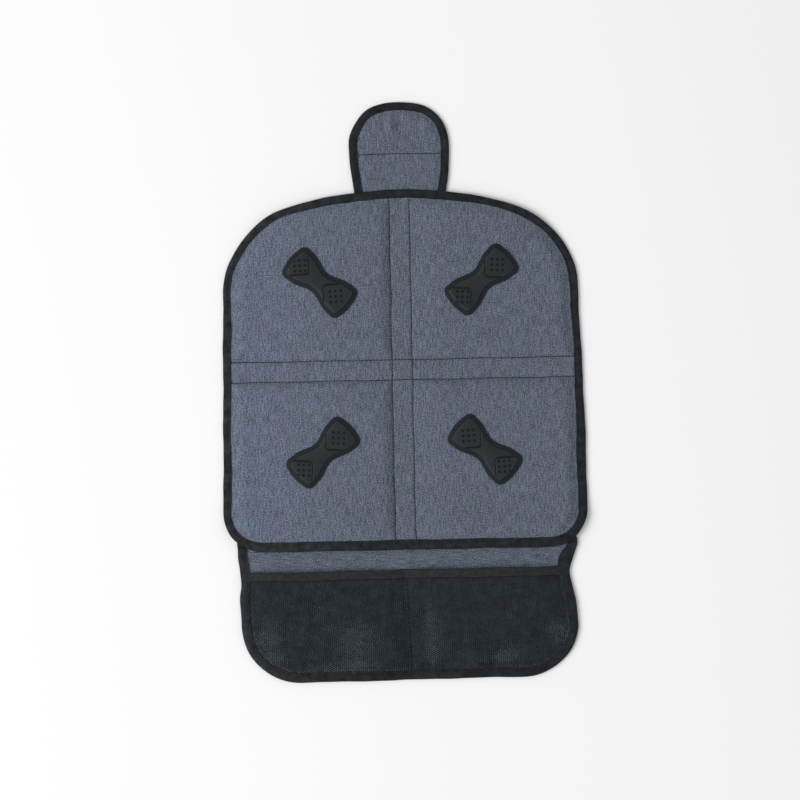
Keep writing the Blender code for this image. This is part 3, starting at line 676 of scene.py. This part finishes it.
def drapeCloth(name, node, look, steps, material, slot, shape=None):
    low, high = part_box(node)
    tree = surfaceOf(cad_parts[node])
    xs = gradedLine(low.x, high.x, look, look["seamsX"])
    ys = gradedLine(low.y, high.y, look, look["seamsY"])
    gridX, gridY = np.meshgrid(xs, ys)
    height = np.array([[topAt(tree, x, y) for x in xs] for y in ys])
    held = ~np.isnan(height)
    level = np.where(held, height, np.nanmean(height))
    for _ in range(look["smoothing"]):
        padded = np.pad(level, 1, mode="edge")
        around = (padded[:-2, 1:-1] + padded[2:, 1:-1] + padded[1:-1, :-2] + padded[1:-1, 2:]) / 4
        nearHeld = np.pad(held, 1)
        inside = nearHeld[:-2, 1:-1] & nearHeld[2:, 1:-1] & nearHeld[1:-1, :-2] & nearHeld[1:-1, 2:] & held
        level = np.where(inside, 0.5 * level + 0.5 * around, level)
    if look.get("quilted"):
        level = shoulderLevel(level, gridX, gridY)
    if shape:
        finder = edgeFinder(steps)
        for i, j in np.argwhere(held):
            x, y = gridX[i, j], gridY[i, j]
            _, index, edge = finder.find((x, y, 0))
            level[i, j] += shape(x, y, edge, steps["along"][index])
    number = -np.ones(held.shape, int)
    number[held] = np.arange(held.sum())
    corners = number[:-1, :-1], number[:-1, 1:], number[1:, 1:], number[1:, :-1]
    whole = np.all([c >= 0 for c in corners], axis=0)
    faces = np.stack([c[whole] for c in corners], axis=1)
    used = np.unique(faces)
    renumber = -np.ones(held.sum(), int)
    renumber[used] = np.arange(len(used))
    points = np.stack([gridX[held], gridY[held], level[held]], axis=1)[used]
    piece = newPiece(name, points.tolist(), renumber[faces].tolist(), material, slot, node)
    applyModifier(piece, "SOLIDIFY", thickness=look["thick"], offset=-1)
    piece.data.shade_smooth()
    return piece


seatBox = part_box("seat_binding")
middleY = (seatBox[0].y + seatBox[1].y) / 2
tabSeamY = middleOf("tab_thread").y
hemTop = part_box("pocket_hem")[1].y
seamHalf = 0.0131
seamsX = [-seamHalf, seamHalf]
seamsY = [middleY - seamHalf, middleY + seamHalf]
quarters = ("rear_left", "rear_right", "front_left", "front_right")
gripMiddles = [middleOf("grip_" + quarter) for quarter in quarters]
clothLook = {
    "step": 0.0034, "fineStep": 0.0006, "fineReach": 0.014, "thick": 0.0008, "smoothing": 3, "seamsX": [],
    "pucker": 0.00100, "puckerSize": 0.0075, "puckerReach": 0.0060, "threadHold": 0.0012,
    "rimPucker": 0.0005, "rimSize": 0.010, "rimReach": 0.007, "swell": 0.0007, "swellSize": 0.055,
    "swellFrom": (0.004, 0.020), "gripFlat": (0.050, 0.075), "shoulders": (0.0150, 0.0480, 0.0160, 0.0130),
    "shoulderPower": 1.4, "groove": 0.0003, "grooveWidth": 0.0009,
}
tabLay = {
    "fan": 9, "ripple": 0.0021, "rippleSize": 0.0075, "fine": (0.004, 0.030), "from": (0.004, 0.040),
    "slack": 0.0004, "slackSize": 0.03, "crimp": 0.0006, "crimpSize": 0.008, "crimpReach": 0.005,
    "threadHold": 0.001, "rim": (0.010, 0.016),
}
bandLay = {
    "crease": 0.0010, "wide": (0.045, 0.010), "fine": (0.02, 0.004), "from": (-0.004, 0.006),
    "rim": (0.012, 0.020),
}


def shoulderLevel(level, x, y):
    # the foam rises slowly from each pair of seams, and the cloth dips where the thread holds it down
    offX, offY = np.abs(x) - seamHalf, np.abs(y - middleY) - seamHalf
    left, right, rear, front = clothLook["shoulders"]
    t = np.minimum(offX / np.where(x < 0, left, right), offY / np.where(y > middleY, rear, front))
    low = level[:, [np.argmin(np.abs(x[0]))]]
    rise = np.nanmax(level - low)
    limit = low + rise * (1 - (1 - np.clip(t, 0, 1)) ** clothLook["shoulderPower"])
    level = np.where(t > 0, np.minimum(level, limit), level)
    off = np.minimum(np.abs(offX), np.abs(offY))
    return level - clothLook["groove"] * np.exp(-((off / clothLook["grooveWidth"]) ** 2))


def besideThread(off, look):
    # nothing at the thread itself, most just beside it, less further off
    return 1 - math.exp(-off / look["threadHold"])


def quiltShape(x, y, edge, along):
    # small puckers across every seam and along the bound edge, and a soft swell over the foam
    look, total = clothLook, 0.0
    for seam, (off, run) in enumerate([(x - at, y) for at in seamsX] + [(y - at, x) for at in seamsY]):
        far = abs(off)
        if far < 4 * look["puckerReach"]:
            pull = 0.4 + wave(run, look["puckerSize"], seam * 2 + (1 if off > 0 else 2))
            reach = math.exp(-far / look["puckerReach"])
            total += besideThread(far, look) * reach * pull * look["pucker"]
    rim = edge - tapeLook["width"]
    if -0.002 < rim < 0.03:
        reach = math.exp(-max(rim, 0) / look["rimReach"])
        total += reach * wave(along, look["rimSize"], 21) * look["rimPucker"]
    nearGrip = min(math.hypot(x - g.x, y - g.y) for g in gripMiddles)
    nearSeam = min(abs(abs(x) - seamHalf), abs(abs(y - middleY) - seamHalf), max(rim, 0))
    free = smoothStep(nearGrip, *look["gripFlat"]) * smoothStep(nearSeam, *look["swellFrom"])
    return total + free * (0.5 + field(x, y, look["swellSize"], 3)) * look["swell"]


def tabShape(x, y, edge, along):
    # upright ripples that fade towards the seam across the tab
    look, beyond = tabLay, y - tabSeamY
    fan, off = x / (1 + look["fan"] * beyond), abs(beyond)
    ripple = wave(fan, look["rippleSize"], 31) + 0.5 * patchy(fan, y, *look["fine"], 35.0)
    ripple *= look["ripple"] * smoothStep(beyond, *look["from"])
    slack = field(x, y, look["slackSize"], 32) * look["slack"]
    crimp = wave(x, look["crimpSize"], 33) * math.exp(-off / look["crimpReach"]) * besideThread(off, look)
    return (ripple + slack) * smoothStep(edge, *look["rim"]) + crimp * look["crimp"]


def bandShape(x, y, edge, along):
    # the band above the pocket is drawn together by the hem, so it creases along X
    look = bandLay
    crease = patchy(x, y, *look["wide"], 41.0) + 0.5 * patchy(x, y, *look["fine"], 42.0)
    return look["crease"] * crease * smoothStep(y - hemTop, *look["from"]) * smoothStep(edge, *look["rim"])


quiltedCloth = dict(clothLook, seamsX=seamsX, seamsY=seamsY, quilted=True)
flapCloth = dict(clothLook, step=0.0016, fineStep=0.0008, fineReach=0.008, seamsY=[tabSeamY])
bandCloth = dict(flapCloth, step=0.004, seamsY=[hemTop + 0.012])
backCloth = dict(clothLook, step=0.008, fineStep=0.008, seamsY=[])
tabBackCloth = dict(backCloth, step=0.006, fineStep=0.006)
facing, backing = "face_cloth", "backing_cloth"
seatFace = drapeCloth("seatFace", "seat_face", quiltedCloth, panelSteps, faceCloth, facing, quiltShape)
tabFace = drapeCloth("tabFace", "tab_face", flapCloth, tabSteps, faceCloth, facing, tabShape)
apronFace = drapeCloth("apronFace", "apron_face", bandCloth, apronSteps, crossCloth, facing, bandShape)
print("face cloths draped")
seatBack = drapeCloth("seatBack", "seat_backing", backCloth, panelSteps, nonSlip, backing)
tabBack = drapeCloth("tabBack", "tab_backing", tabBackCloth, tabSteps, nonSlip, backing)
apronBack = drapeCloth("apronBack", "apron_backing", backCloth, apronSteps, nonSlip, backing)
print("backing cloths draped")

# Pocket: a knitted net of six-sided holes, its elastic hem and the seam that divides it

netLook = {
    "pitch": 0.0029, "hole": 0.36, "holeDrift": 0.45, "holeLimits": (0.12, 0.72), "cordRise": 0.00022,
    "inset": 0.0060, "sag": 0.0010, "sagSize": 0.045, "fineSag": 0.0004, "fineSagSize": 0.012,
    "crease": 0.0012, "creaseX": 0.030, "creaseWidth": 0.0045, "creaseStray": 0.004, "jitter": 0.00060,
    "jitterSize": 0.0019,
}
# where the net is pulled open: a spot and its reach in millimetres, and how much wider its holes are
openPatches = [
    (-186, -320, 20, 16, 0.40), (-178, -345, 22, 12, 0.34), (-121, -287, 10, 12, 0.26),
    (-70, -325, 34, 28, 0.40), (-90, -358, 60, 10, 0.26), (27, -304, 7, 40, 0.44), (29, -345, 14, 18, 0.34),
    (122, -346, 18, 14, 0.37), (190, -317, 18, 18, 0.52), (130, -295, 26, 12, 0.14),
]


def knitNet():
    # each cord is shared by two holes and stands highest along its middle
    tree = surfaceOf(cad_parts["pocket_mesh"])
    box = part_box("pocket_mesh")
    finder = edgeFinder(apronSteps)
    pitch = netLook["pitch"]
    radius = pitch / math.sqrt(3)
    cornersAt = [(radius * math.cos(a), -radius * math.sin(a)) for a in np.arange(6) * math.pi / 3]
    points, faces, shared = [], [], {}

    def netLevel(x, y):
        z = topAt(tree, x, y)
        if math.isnan(z):
            return z
        far = finder.find((x, y, 0))[2]
        slack = smoothStep(far, 0.014, 0.045) * smoothStep(abs(x), 0.002, 0.03)
        line = netLook["creaseX"] + netLook["creaseStray"] * wave(y, 0.05, 52)
        crease = math.exp(-(((x - line) / netLook["creaseWidth"]) ** 2)) * smoothStep(far, 0.015, 0.05)
        sag = field(x, y, netLook["sagSize"], 51) * netLook["sag"]
        sag += field(x, y, netLook["fineSagSize"], 53) * netLook["fineSag"]
        return z - netLook["cordRise"] + slack * sag + crease * netLook["crease"]

    def astray(x, y):
        size = netLook["jitterSize"]
        return [netLook["jitter"] * patchy(x, y, size, size, level) for level in (61.0, 67.0)]

    def corner(x, y):
        key = (round(x * 1e5), round(y * 1e5))
        if key not in shared:
            dx, dy = astray(x, y)
            x, y = x + dx, y + dy
            z = netLevel(x, y)
            shared[key] = None if math.isnan(z) else len(points)
            if shared[key] is not None:
                points.append((x, y, z + netLook["cordRise"]))
        return shared[key]

    side = int(box[1].x / (pitch * math.sqrt(3) / 2))
    for column in range(-side, side + 1):
        x = column * pitch * math.sqrt(3) / 2
        shift = pitch / 2 if column % 2 else 0
        for row in range(int((box[1].y - box[0].y) / pitch)):
            y = box[0].y + row * pitch + shift
            if finder.find((x, y, 0))[2] < netLook["inset"] or y > box[1].y - 0.4 * pitch:
                continue
            ring = [corner(x + dx, y + dy) for dx, dy in cornersAt]
            if None in ring:
                continue
            drift = field(x, y, 0.03, 54) + field(x, y, 0.006, 55) + 0.8 * field(x, y, 0.0021, 56)
            share = netLook["hole"] * (1 + netLook["holeDrift"] * drift)
            for px, py, reachX, reachY, wider in openPatches:
                away = ((x * 1000 - px) / reachX) ** 2 + ((y * 1000 - py) / reachY) ** 2
                share += wider * math.exp(-away)
            share = np.clip(share, *netLook["holeLimits"])
            first = len(points)
            strayX, strayY = astray(x, y)
            for dx, dy in cornersAt:
                hx, hy = x + share * dx + strayX * 0.5, y + share * dy + strayY * 0.5
                points.append((hx, hy, netLevel(hx, hy)))
            for k in range(6):
                m = (k + 1) % 6
                faces.append((ring[k], first + k, first + m, ring[m]))
    return newPiece("pocketNet", points, faces, netCord, "pocket_netting", "pocket_mesh")


pocketNet = knitNet()
print("net knitted", len(pocketNet.data.polygons))

hemLine = [(x, hemTop) for x in np.linspace(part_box("pocket_hem")[1].x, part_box("pocket_hem")[0].x, 40)]
hemSteps = evenSteps(hemLine, hemLook["step"], closed=False)
pocketHem = sweepTape("pocketHem", "pocket_hem", hemSteps, hemLook, hemTape)
print("hem swept")

# Stitches: one short run of thread, copied along each seam

# sunk is how much of the thread lies below the surface that it is sewn to
stitchLook = {
    "sunk": 0.35,
    "quilt": {"pitch": 0.0046, "length": 0.0051, "radius": 0.00052},
    "tape": {"pitch": 0.0032, "length": 0.0026, "radius": 0.00026},
    "grip": {"pitch": 0.0026, "length": 0.0021, "radius": 0.00026},
    "pocket": {"pitch": 0.0054, "length": 0.0040, "radius": 0.00072},
    "hem": {"pitch": 0.0042, "radius": 0.00050},
}


def inOrder(points, faces):
    # numbers the corners by their places, because an extrusion numbers them anew on each run
    order = np.lexsort(np.round(points, 4).T)
    number = np.argsort(order).tolist()
    ordered = []
    for face in faces:
        face = [number[k] for k in face]
        first = face.index(min(face))
        ordered.append(tuple(face[first:] + face[:first]))
    return points[order], sorted(ordered)


def modelStitch():
    # a six-sided run of thread one unit long, that dives at both ends
    pickNothing()
    bpy.ops.mesh.primitive_cylinder_add(vertices=6, radius=1, depth=0.56, rotation=(0, math.pi / 2, 0))
    stitch = bpy.context.active_object
    bpy.ops.object.transform_apply()
    for end in (-1, 1):
        editParts(stitch, "FACE", lambda face: face.normal.x * end > 0.9)
        bpy.ops.mesh.extrude_region_move(TRANSFORM_OT_translate={"value": (0.22 * end, 0, -0.9)})
        bpy.ops.transform.resize(value=(1, 0.3, 0.3), center_override=(0.5 * end, 0, -0.9))
        setMode("OBJECT")
    points = np.array([v.co for v in stitch.data.vertices])
    faces = [tuple(p.vertices) for p in stitch.data.polygons]
    bpy.data.objects.remove(stitch)
    return inOrder(points, faces)


stitchPoints, stitchFaces = modelStitch()


def sewStitches(name, lines, look, material, *nodes):
    # each line is a list of (place, direction) pairs
    points, faces = [], []
    for place, ahead in (pair for line in lines for pair in line):
        ahead = ahead.normalized()
        across = Vector((0, 0, 1)).cross(ahead).normalized()
        up = ahead.cross(across)
        turned = np.array([ahead * look["length"], across * look["radius"], up * look["radius"]])
        faces += [tuple(len(points) + k for k in face) for face in stitchFaces]
        points += (stitchPoints @ turned + np.array(place)).tolist()
    return newPiece(name, points, faces, material, "sewing_thread", *nodes)


def stitchLine(path, tree, look):
    # stitches evenly along a path, laid on a surface and left out where it has none
    lengths = lengthsAlong(path)
    count = int(lengths[-1] / look["pitch"])
    rise = Vector((0, 0, look["radius"] * (1 - 2 * stitchLook["sunk"])))
    line = []
    for i in range(count):
        s = (i + 0.5) * lengths[-1] / count
        ends = []
        for t in (s - 0.4 * look["pitch"], s + 0.4 * look["pitch"]):
            x, y = np.interp(t, lengths, path[:, 0]), np.interp(t, lengths, path[:, 1])
            ends.append(Vector((x, y, topAt(tree, x, y))))
        if not any(math.isnan(end.z) for end in ends):
            line.append(((ends[0] + ends[1]) / 2 + rise, ends[1] - ends[0]))
    return line


def insetPath(steps, inset):
    path = steps["points"] + steps["inward"] * inset
    return np.vstack([path, path[:1]]) if steps["closed"] else path


def sewSeams(name, node, piece, ends):
    # straight seams on one piece, each from one end to the other
    tree = surfaceOf(piece)
    seams = [stitchLine(np.array(pair), tree, stitchLook["quilt"]) for pair in ends]
    return sewStitches(name, seams, stitchLook["quilt"], quiltingThread, node)


insideTape = tapeLook["width"] + 0.001
left, right = seatBox[0].x + insideTape, seatBox[1].x - insideTape
front, rear = seatBox[0].y + insideTape, seatBox[1].y - insideTape
quiltEnds = [((x, front), (x, rear)) for x in seamsX] + [((left, y), (right, y)) for y in seamsY]
quiltStitches = sewSeams("quiltStitches", "quilt_thread", seatFace, quiltEnds)
low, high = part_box("tab_thread")
tabStitches = sewSeams("tabStitches", "tab_thread", tabFace, [((low.x, tabSeamY), (high.x, tabSeamY))])

low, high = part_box("pocket_thread")
divider = np.array([(0, low.y), (0, high.y)])
hemSeam = insetPath(hemSteps, hemLook["width"] - hemLook["stitch"])
pocketSeams = [
    stitchLine(divider, surfaceOf(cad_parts["pocket_mesh"]), stitchLook["pocket"]),
    stitchLine(hemSeam, surfaceOf(pocketHem), stitchLook["hem"]),
]
pocketStitches = sewStitches(
    "pocketStitches", pocketSeams, stitchLook["pocket"], quiltingThread, "pocket_thread",
)

tapeInset = tapeLook["width"] - tapeLook["stitch"]
tapeSeams = [
    stitchLine(insetPath(steps, tapeInset), surfaceOf(tape), stitchLook["tape"]) for tape, steps in tapes
]
tapeStitches = sewStitches("tapeStitches", tapeSeams, stitchLook["tape"], tapeThread)
print("seams sewn")

# Rubber grips, modelled once and copied

gripLook = {
    "halfLength": 0.0515, "endHalfWidth": 0.0250, "shoulderX": 0.0240, "shoulderHalfWidth": 0.0230,
    "waist": 0.0140, "flangeWidth": 0.0054, "flangeThick": 0.0012, "draft": 0.0007, "bodyRise": 0.0013,
    "crownInset": 0.0016, "crownRise": 0.0004, "bevel": 0.00030, "bigNose": 0.0074, "smallNose": -0.0192,
    "bigReach": 0.0185, "smallReach": 0.0180, "noseRadius": 0.0050, "groove": 0.00130, "hole": 0.00188,
    "holeDepth": 0.0015,
    "bigHoles": 0.0278, "bigSpacing": 0.0070, "smallHoles": -0.0335, "smallSpacing": 0.0068, "angle": 41.5,
    "stitchInset": 0.0025, "edgeReach": 0.00012, "darkBelow": 0.00045,
}


def roundedLoop(corners, step=5.0):
    # a closed outline through (x, y, radius) corners
    points = []
    for i, (x, y, radius) in enumerate(corners):
        here = np.array([x, y])
        back = np.array(corners[i - 1][:2]) - here
        on = np.array(corners[(i + 1) % len(corners)][:2]) - here
        backLength, onLength = np.linalg.norm(back), np.linalg.norm(on)
        back, on = back / backLength, on / onLength
        opening = math.acos(float(np.clip(back @ on, -1, 1)))
        tangent = min(radius / math.tan(opening / 2), 0.49 * min(backLength, onLength))
        radius = tangent * math.tan(opening / 2)
        centre = here + (back + on) / np.linalg.norm(back + on) * radius / math.sin(opening / 2)
        start = math.atan2(*(here + back * tangent - centre)[::-1])
        end = math.atan2(*(here + on * tangent - centre)[::-1])
        turn = (end - start + math.pi) % (2 * math.pi) - math.pi
        count = max(2, round(abs(math.degrees(turn)) / step))
        for k in range(count + 1):
            a = start + turn * k / count
            points.append((centre[0] + radius * math.cos(a), centre[1] + radius * math.sin(a)))
    return points


def gripLoop():
    g = gripLook
    endX = g["halfLength"] - 0.22 * g["endHalfWidth"]
    half = [
        (g["halfLength"], 0.0, 0.0600), (endX, g["endHalfWidth"], 0.0090),
        (g["shoulderX"], g["shoulderHalfWidth"], 0.0250), (0.0, g["waist"], 0.0250),
        (-g["shoulderX"], g["shoulderHalfWidth"], 0.0250), (-endX, g["endHalfWidth"], 0.0090),
    ]
    return roundedLoop(half + [(-x, -y, r) for x, y, r in half])


def foldPath(nose, reach, side):
    # the groove that parts a petal from the waist: a rounded V that opens to one side
    radius = gripLook["noseRadius"]
    turns = [math.radians(a) for a in np.linspace(-45, 45, 9)]
    bend = [(nose + side * radius * (1 - math.cos(a)), radius * math.sin(a)) for a in turns]
    endX = bend[-1][0] + side * (reach - bend[-1][1])
    return [(endX, -reach)] + bend + [(endX, reach)]


def loopObject(name, loop, z, fill):
    pickNothing()
    bpy.ops.mesh.primitive_circle_add(vertices=len(loop), radius=0.02, fill_type=fill)
    made = bpy.context.active_object
    made.name = name
    for vertex, (x, y) in zip(made.data.vertices, loop):
        vertex.co = (x, y, z)
    return made


def cutAway(piece, cutter):
    applyModifier(piece, "BOOLEAN", operation="DIFFERENCE", solver="EXACT", object=cutter)
    bpy.data.objects.remove(cutter)


def foldCutter(path, z):
    # an open path swept into a closed round bar
    bar = loopObject("foldCutter", path, z, "NOTHING")
    editParts(bar, "EDGE", lambda edge: set(edge.vertices) == {0, len(path) - 1})
    bpy.ops.mesh.delete(type="EDGE")
    setMode("OBJECT")
    bpy.ops.object.convert(target="CURVE")
    bar = bpy.context.active_object
    bar.data.bevel_depth = gripLook["groove"]
    bar.data.bevel_resolution = 2
    bar.data.use_fill_caps = True
    bpy.ops.object.convert(target="MESH")
    return bpy.context.active_object


def modelGrip():
    g = gripLook
    grip = loopObject("gripMaster", gripLoop(), 0.0, "NGON")
    setMode("EDIT")
    bpy.ops.mesh.select_all(action="SELECT")
    bpy.ops.mesh.extrude_region_move(TRANSFORM_OT_translate={"value": (0, 0, g["flangeThick"])})
    bpy.ops.mesh.inset(thickness=g["flangeWidth"], depth=0)
    bpy.ops.mesh.inset(thickness=g["draft"], depth=g["bodyRise"])
    bpy.ops.mesh.inset(thickness=g["crownInset"], depth=g["crownRise"])
    setMode("OBJECT")
    faceOut(grip)
    sharp = math.radians(25)
    applyModifier(grip, "BEVEL", width=g["bevel"], segments=3, limit_method="ANGLE", angle_limit=sharp)
    crestZ = g["flangeThick"] + g["bodyRise"]
    topZ = crestZ + g["crownRise"]
    for nose, reach, side in ((g["bigNose"], g["bigReach"], 1), (g["smallNose"], g["smallReach"], -1)):
        cutAway(grip, foldCutter(foldPath(nose, reach, side), topZ + 0.1 * g["groove"]))
    centres = []
    for middle, spacing in ((g["bigHoles"], g["bigSpacing"]), (g["smallHoles"], g["smallSpacing"])):
        step = spacing / math.sqrt(2)
        centres += [(middle + step * (r + c), step * (r - c)) for r in (-1, 0, 1) for c in (-1, 0, 1)]
    pickNothing()
    pegs = []
    for x, y in centres:
        bpy.ops.mesh.primitive_cylinder_add(
            vertices=14, radius=g["hole"], depth=2 * g["holeDepth"], location=(x, y, topZ),
        )
        pegs.append(bpy.context.active_object)
    pick(pegs[0])
    for peg in pegs:
        peg.select_set(True)
    bpy.ops.object.join()
    bpy.ops.object.transform_apply()
    cutAway(grip, bpy.context.active_object)
    # the flange is a darker rubber; all that is sunk is painted darker as painted shade, and the crown's
    # edge is painted lighter as a painted highlight
    flangeAndHollowShade, crest = [grip.data.attributes.new(part, "FLOAT", "POINT") for part in ("flangeAndHollowShade", "crest")]
    for dark, light, vertex in zip(flangeAndHollowShade.data, crest.data, grip.data.vertices):
        z = vertex.co.z
        edge = abs(z - crestZ) < g["edgeReach"]
        sunk = z < topZ - g["darkBelow"] and not edge
        dark.value = 1.0 if sunk or z < g["flangeThick"] + 0.0001 else 0.0
        light.value = 0.8 if edge else 0.0
    return grip


def pieceName(node):
    # grip_rear_left becomes gripRearLeft
    first, *rest = node.split("_")
    return first + "".join(part.capitalize() for part in rest)


def placeGrips():
    master = modelGrip()
    loop = evenSteps(gripLoop(), 0.001)
    angle = gripLook["angle"]
    lines = []
    for quarter, turn in zip(quarters, (-angle, angle, angle, 180 - angle)):
        node, turn = "grip_" + quarter, math.radians(turn)
        middle = middleOf(node)
        pick(master)
        bpy.ops.object.duplicate()
        grip = bpy.context.active_object
        grip.name = grip.data.name = pieceName(node)
        grip.location = (middle.x, middle.y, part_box(node)[0].z)
        grip.rotation_euler = (0, 0, turn)
        bpy.ops.object.transform_apply()
        grip.data.materials.clear()
        grip.data.materials.append(rubber)
        bpy.ops.object.shade_smooth_by_angle(angle=math.radians(40))
        dress(grip, "grip_rubber", node)
        c, s = math.cos(turn), math.sin(turn)
        path = insetPath(loop, gripLook["stitchInset"]) @ np.array([[c, s], [-s, c]]) + np.array(middle.xy)
        lines.append(stitchLine(path, surfaceOf(grip), stitchLook["grip"]))
    bpy.data.objects.remove(master)
    sewStitches("gripStitches", lines, stitchLook["grip"], tapeThread)


placeGrips()
print("grips placed")

# Foam pads, cut to the space under the quilted cloth

padLook = {"step": 0.006, "margin": 0.001, "clearance": 0.0003, "thinnest": 0.0003}
faceTree = surfaceOf(seatFace)


def padLine(low, high):
    count = round((high - low) / padLook["step"])
    return np.linspace(low + padLook["margin"], high - padLook["margin"], count)


def cutPad(node):
    boxLow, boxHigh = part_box(node)
    cad = surfaceOf(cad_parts[node])
    number, points, faces = {}, [], []
    for i, y in enumerate(padLine(boxLow.y, boxHigh.y)):
        for j, x in enumerate(padLine(boxLow.x, boxHigh.x)):
            low, high, over = undersideAt(cad, x, y), topAt(cad, x, y), topAt(faceTree, x, y)
            if not math.isnan(low + high + over):
                high = min(high, over - clothLook["thick"] - padLook["clearance"])
                number[i, j] = len(points)
                points += [(x, y, max(high, low + padLook["thinnest"])), (x, y, low)]
    sides = {}
    for i, j in number:
        ring = [number.get(at) for at in ((i, j), (i, j + 1), (i + 1, j + 1), (i + 1, j))]
        if None in ring:
            continue
        faces += [tuple(ring), tuple(n + 1 for n in reversed(ring))]
        for a, b in zip(ring, ring[1:] + ring[:1]):
            sides[a, b] = sides.pop((b, a), None) is None
    faces += [(b, a, a + 1, b + 1) for (a, b), lone in sides.items() if lone]
    piece = newPiece(pieceName(node), points, faces, foam, "pad_foam", node)
    faceOut(piece)
    return piece


foamPads = [cutPad("foam_" + quarter) for quarter in quarters]
print("foam pads cut")

# Settling: small shifts that make the cloths, tapes, threads and pads lie less evenly


# How the cloth lies: a nudge is a place, its reach along X and Y, and its shift, in millimetres
nudges = [
    (-200, 210, 65, 65, 2.9, -2.2), (185, 222, 70, 65, -2.4, -2.6), (235, -60, 60, 90, 1.6, 0.0),
    (65, 290, 30, 40, 3.2, 0.0), (-52, 350, 22, 26, 2.4, -1.2), (-65, 250, 30, 30, 1.5, 0.0),
    (0, -340, 900, 60, 4.0, 0.0), (0, -236, 900, 12, -2.0, 0.0), (0, -201, 900, 10, 2.2, 0.0),
    (-110, -376, 100, 30, 0.0, -1.0), (110, -376, 100, 30, 0.0, 1.0), (-218, -291, 60, 35, 1.6, 0.0),
    (217, -261, 40, 16, -2.2, 0.0), (230, 120, 40, 50, -1.2, 0.0), (0, -234, 900, 15, 0.0, -1.2),
    (-170, -234, 110, 16, 0.0, -1.2),
]

# for X and for Y: the height, length and bend of a slow and of a quick wave, in millimetres
wavers = (0.36, 15, 41, 0.14, 5.7, 19), (0.34, 16, 37, 0.12, 6.1, 23)


def waver(along, across, slow, slowLength, slowBend, quick, quickLength, quickBend):
    shift = slow * np.sin(along / slowLength + 2.0 * np.sin(across / slowBend))
    return shift + quick * np.sin(along / quickLength + across / quickBend)


def settleCloth(piece):
    at = np.empty(len(piece.data.vertices) * 3)
    piece.data.vertices.foreach_get("co", at)
    at = at.reshape(-1, 3)
    x, y = at[:, 0] * 1000, at[:, 1] * 1000
    shift = np.stack([waver(y, x, *wavers[0]), waver(x, y, *wavers[1])], axis=1)
    for placeX, placeY, reachX, reachY, *move in nudges:
        near = np.exp(-(((x - placeX) / reachX) ** 2) - ((y - placeY) / reachY) ** 2)
        shift += near[:, None] * np.array(move)
    at[:, :2] += shift / 1000
    piece.data.vertices.foreach_set("co", at.ravel())
    piece.data.update()


cloths = [seatFace, seatBack, tabFace, tabBack, apronFace, apronBack, pocketNet, pocketHem]
threads = [quiltStitches, tabStitches, pocketStitches, tapeStitches]
for piece in (*cloths, panelTape, tabTape, apronTape, *threads, *foamPads):
    settleCloth(piece)
print("cloth settled")

# Floor, light and camera

stageLook = {
    "floor": (0.97, 0.965, 0.975, 1), "air": (1.0, 0.995, 1.0, 1), "world": 0.54, "keyPower": 318,
    "keyPlace": (-4.9, -0.84, 4.48), "keySize": 4.2, "cameraHeight": 3.0, "lens": 103.8,
    "aim": (-0.0039, -0.0118), "turn": -1.15,
}


def setStage():
    look = stageLook
    bpy.ops.mesh.primitive_plane_add(size=12, location=(0, 0, -0.0002))
    floor = bpy.context.active_object
    floor.name = "floor"
    bpy.ops.object.transform_apply()
    paint, tree, shader = startFinish("paleFloor", 0.9, 0.5)
    feed(tree, shader, Base_Color=look["floor"])
    floor.data.materials.append(paint)
    world = bpy.data.worlds.new("softRoom")
    bpy.context.scene.world = world
    world.use_nodes = True
    tree = world.node_tree
    feed(tree, tree.nodes["Background"], Color=look["air"], Strength=look["world"])
    bpy.ops.object.light_add(type="AREA", location=look["keyPlace"])
    key = bpy.context.active_object
    key.name = "keyLight"
    key.data.energy = look["keyPower"]
    key.data.size = look["keySize"]
    key.rotation_euler = (-Vector(look["keyPlace"])).to_track_quat("-Z", "Y").to_euler()
    bpy.ops.object.camera_add(location=(*look["aim"], look["cameraHeight"]))
    camera = bpy.context.active_object
    camera.rotation_euler = (0, 0, math.radians(look["turn"]))
    camera.data.lens = look["lens"]
    camera.data.clip_start = 0.1
    bpy.context.scene.camera = camera
    bpy.context.scene.view_settings.view_transform = "Standard"
    pickNothing()


setStage()
print("stage set")
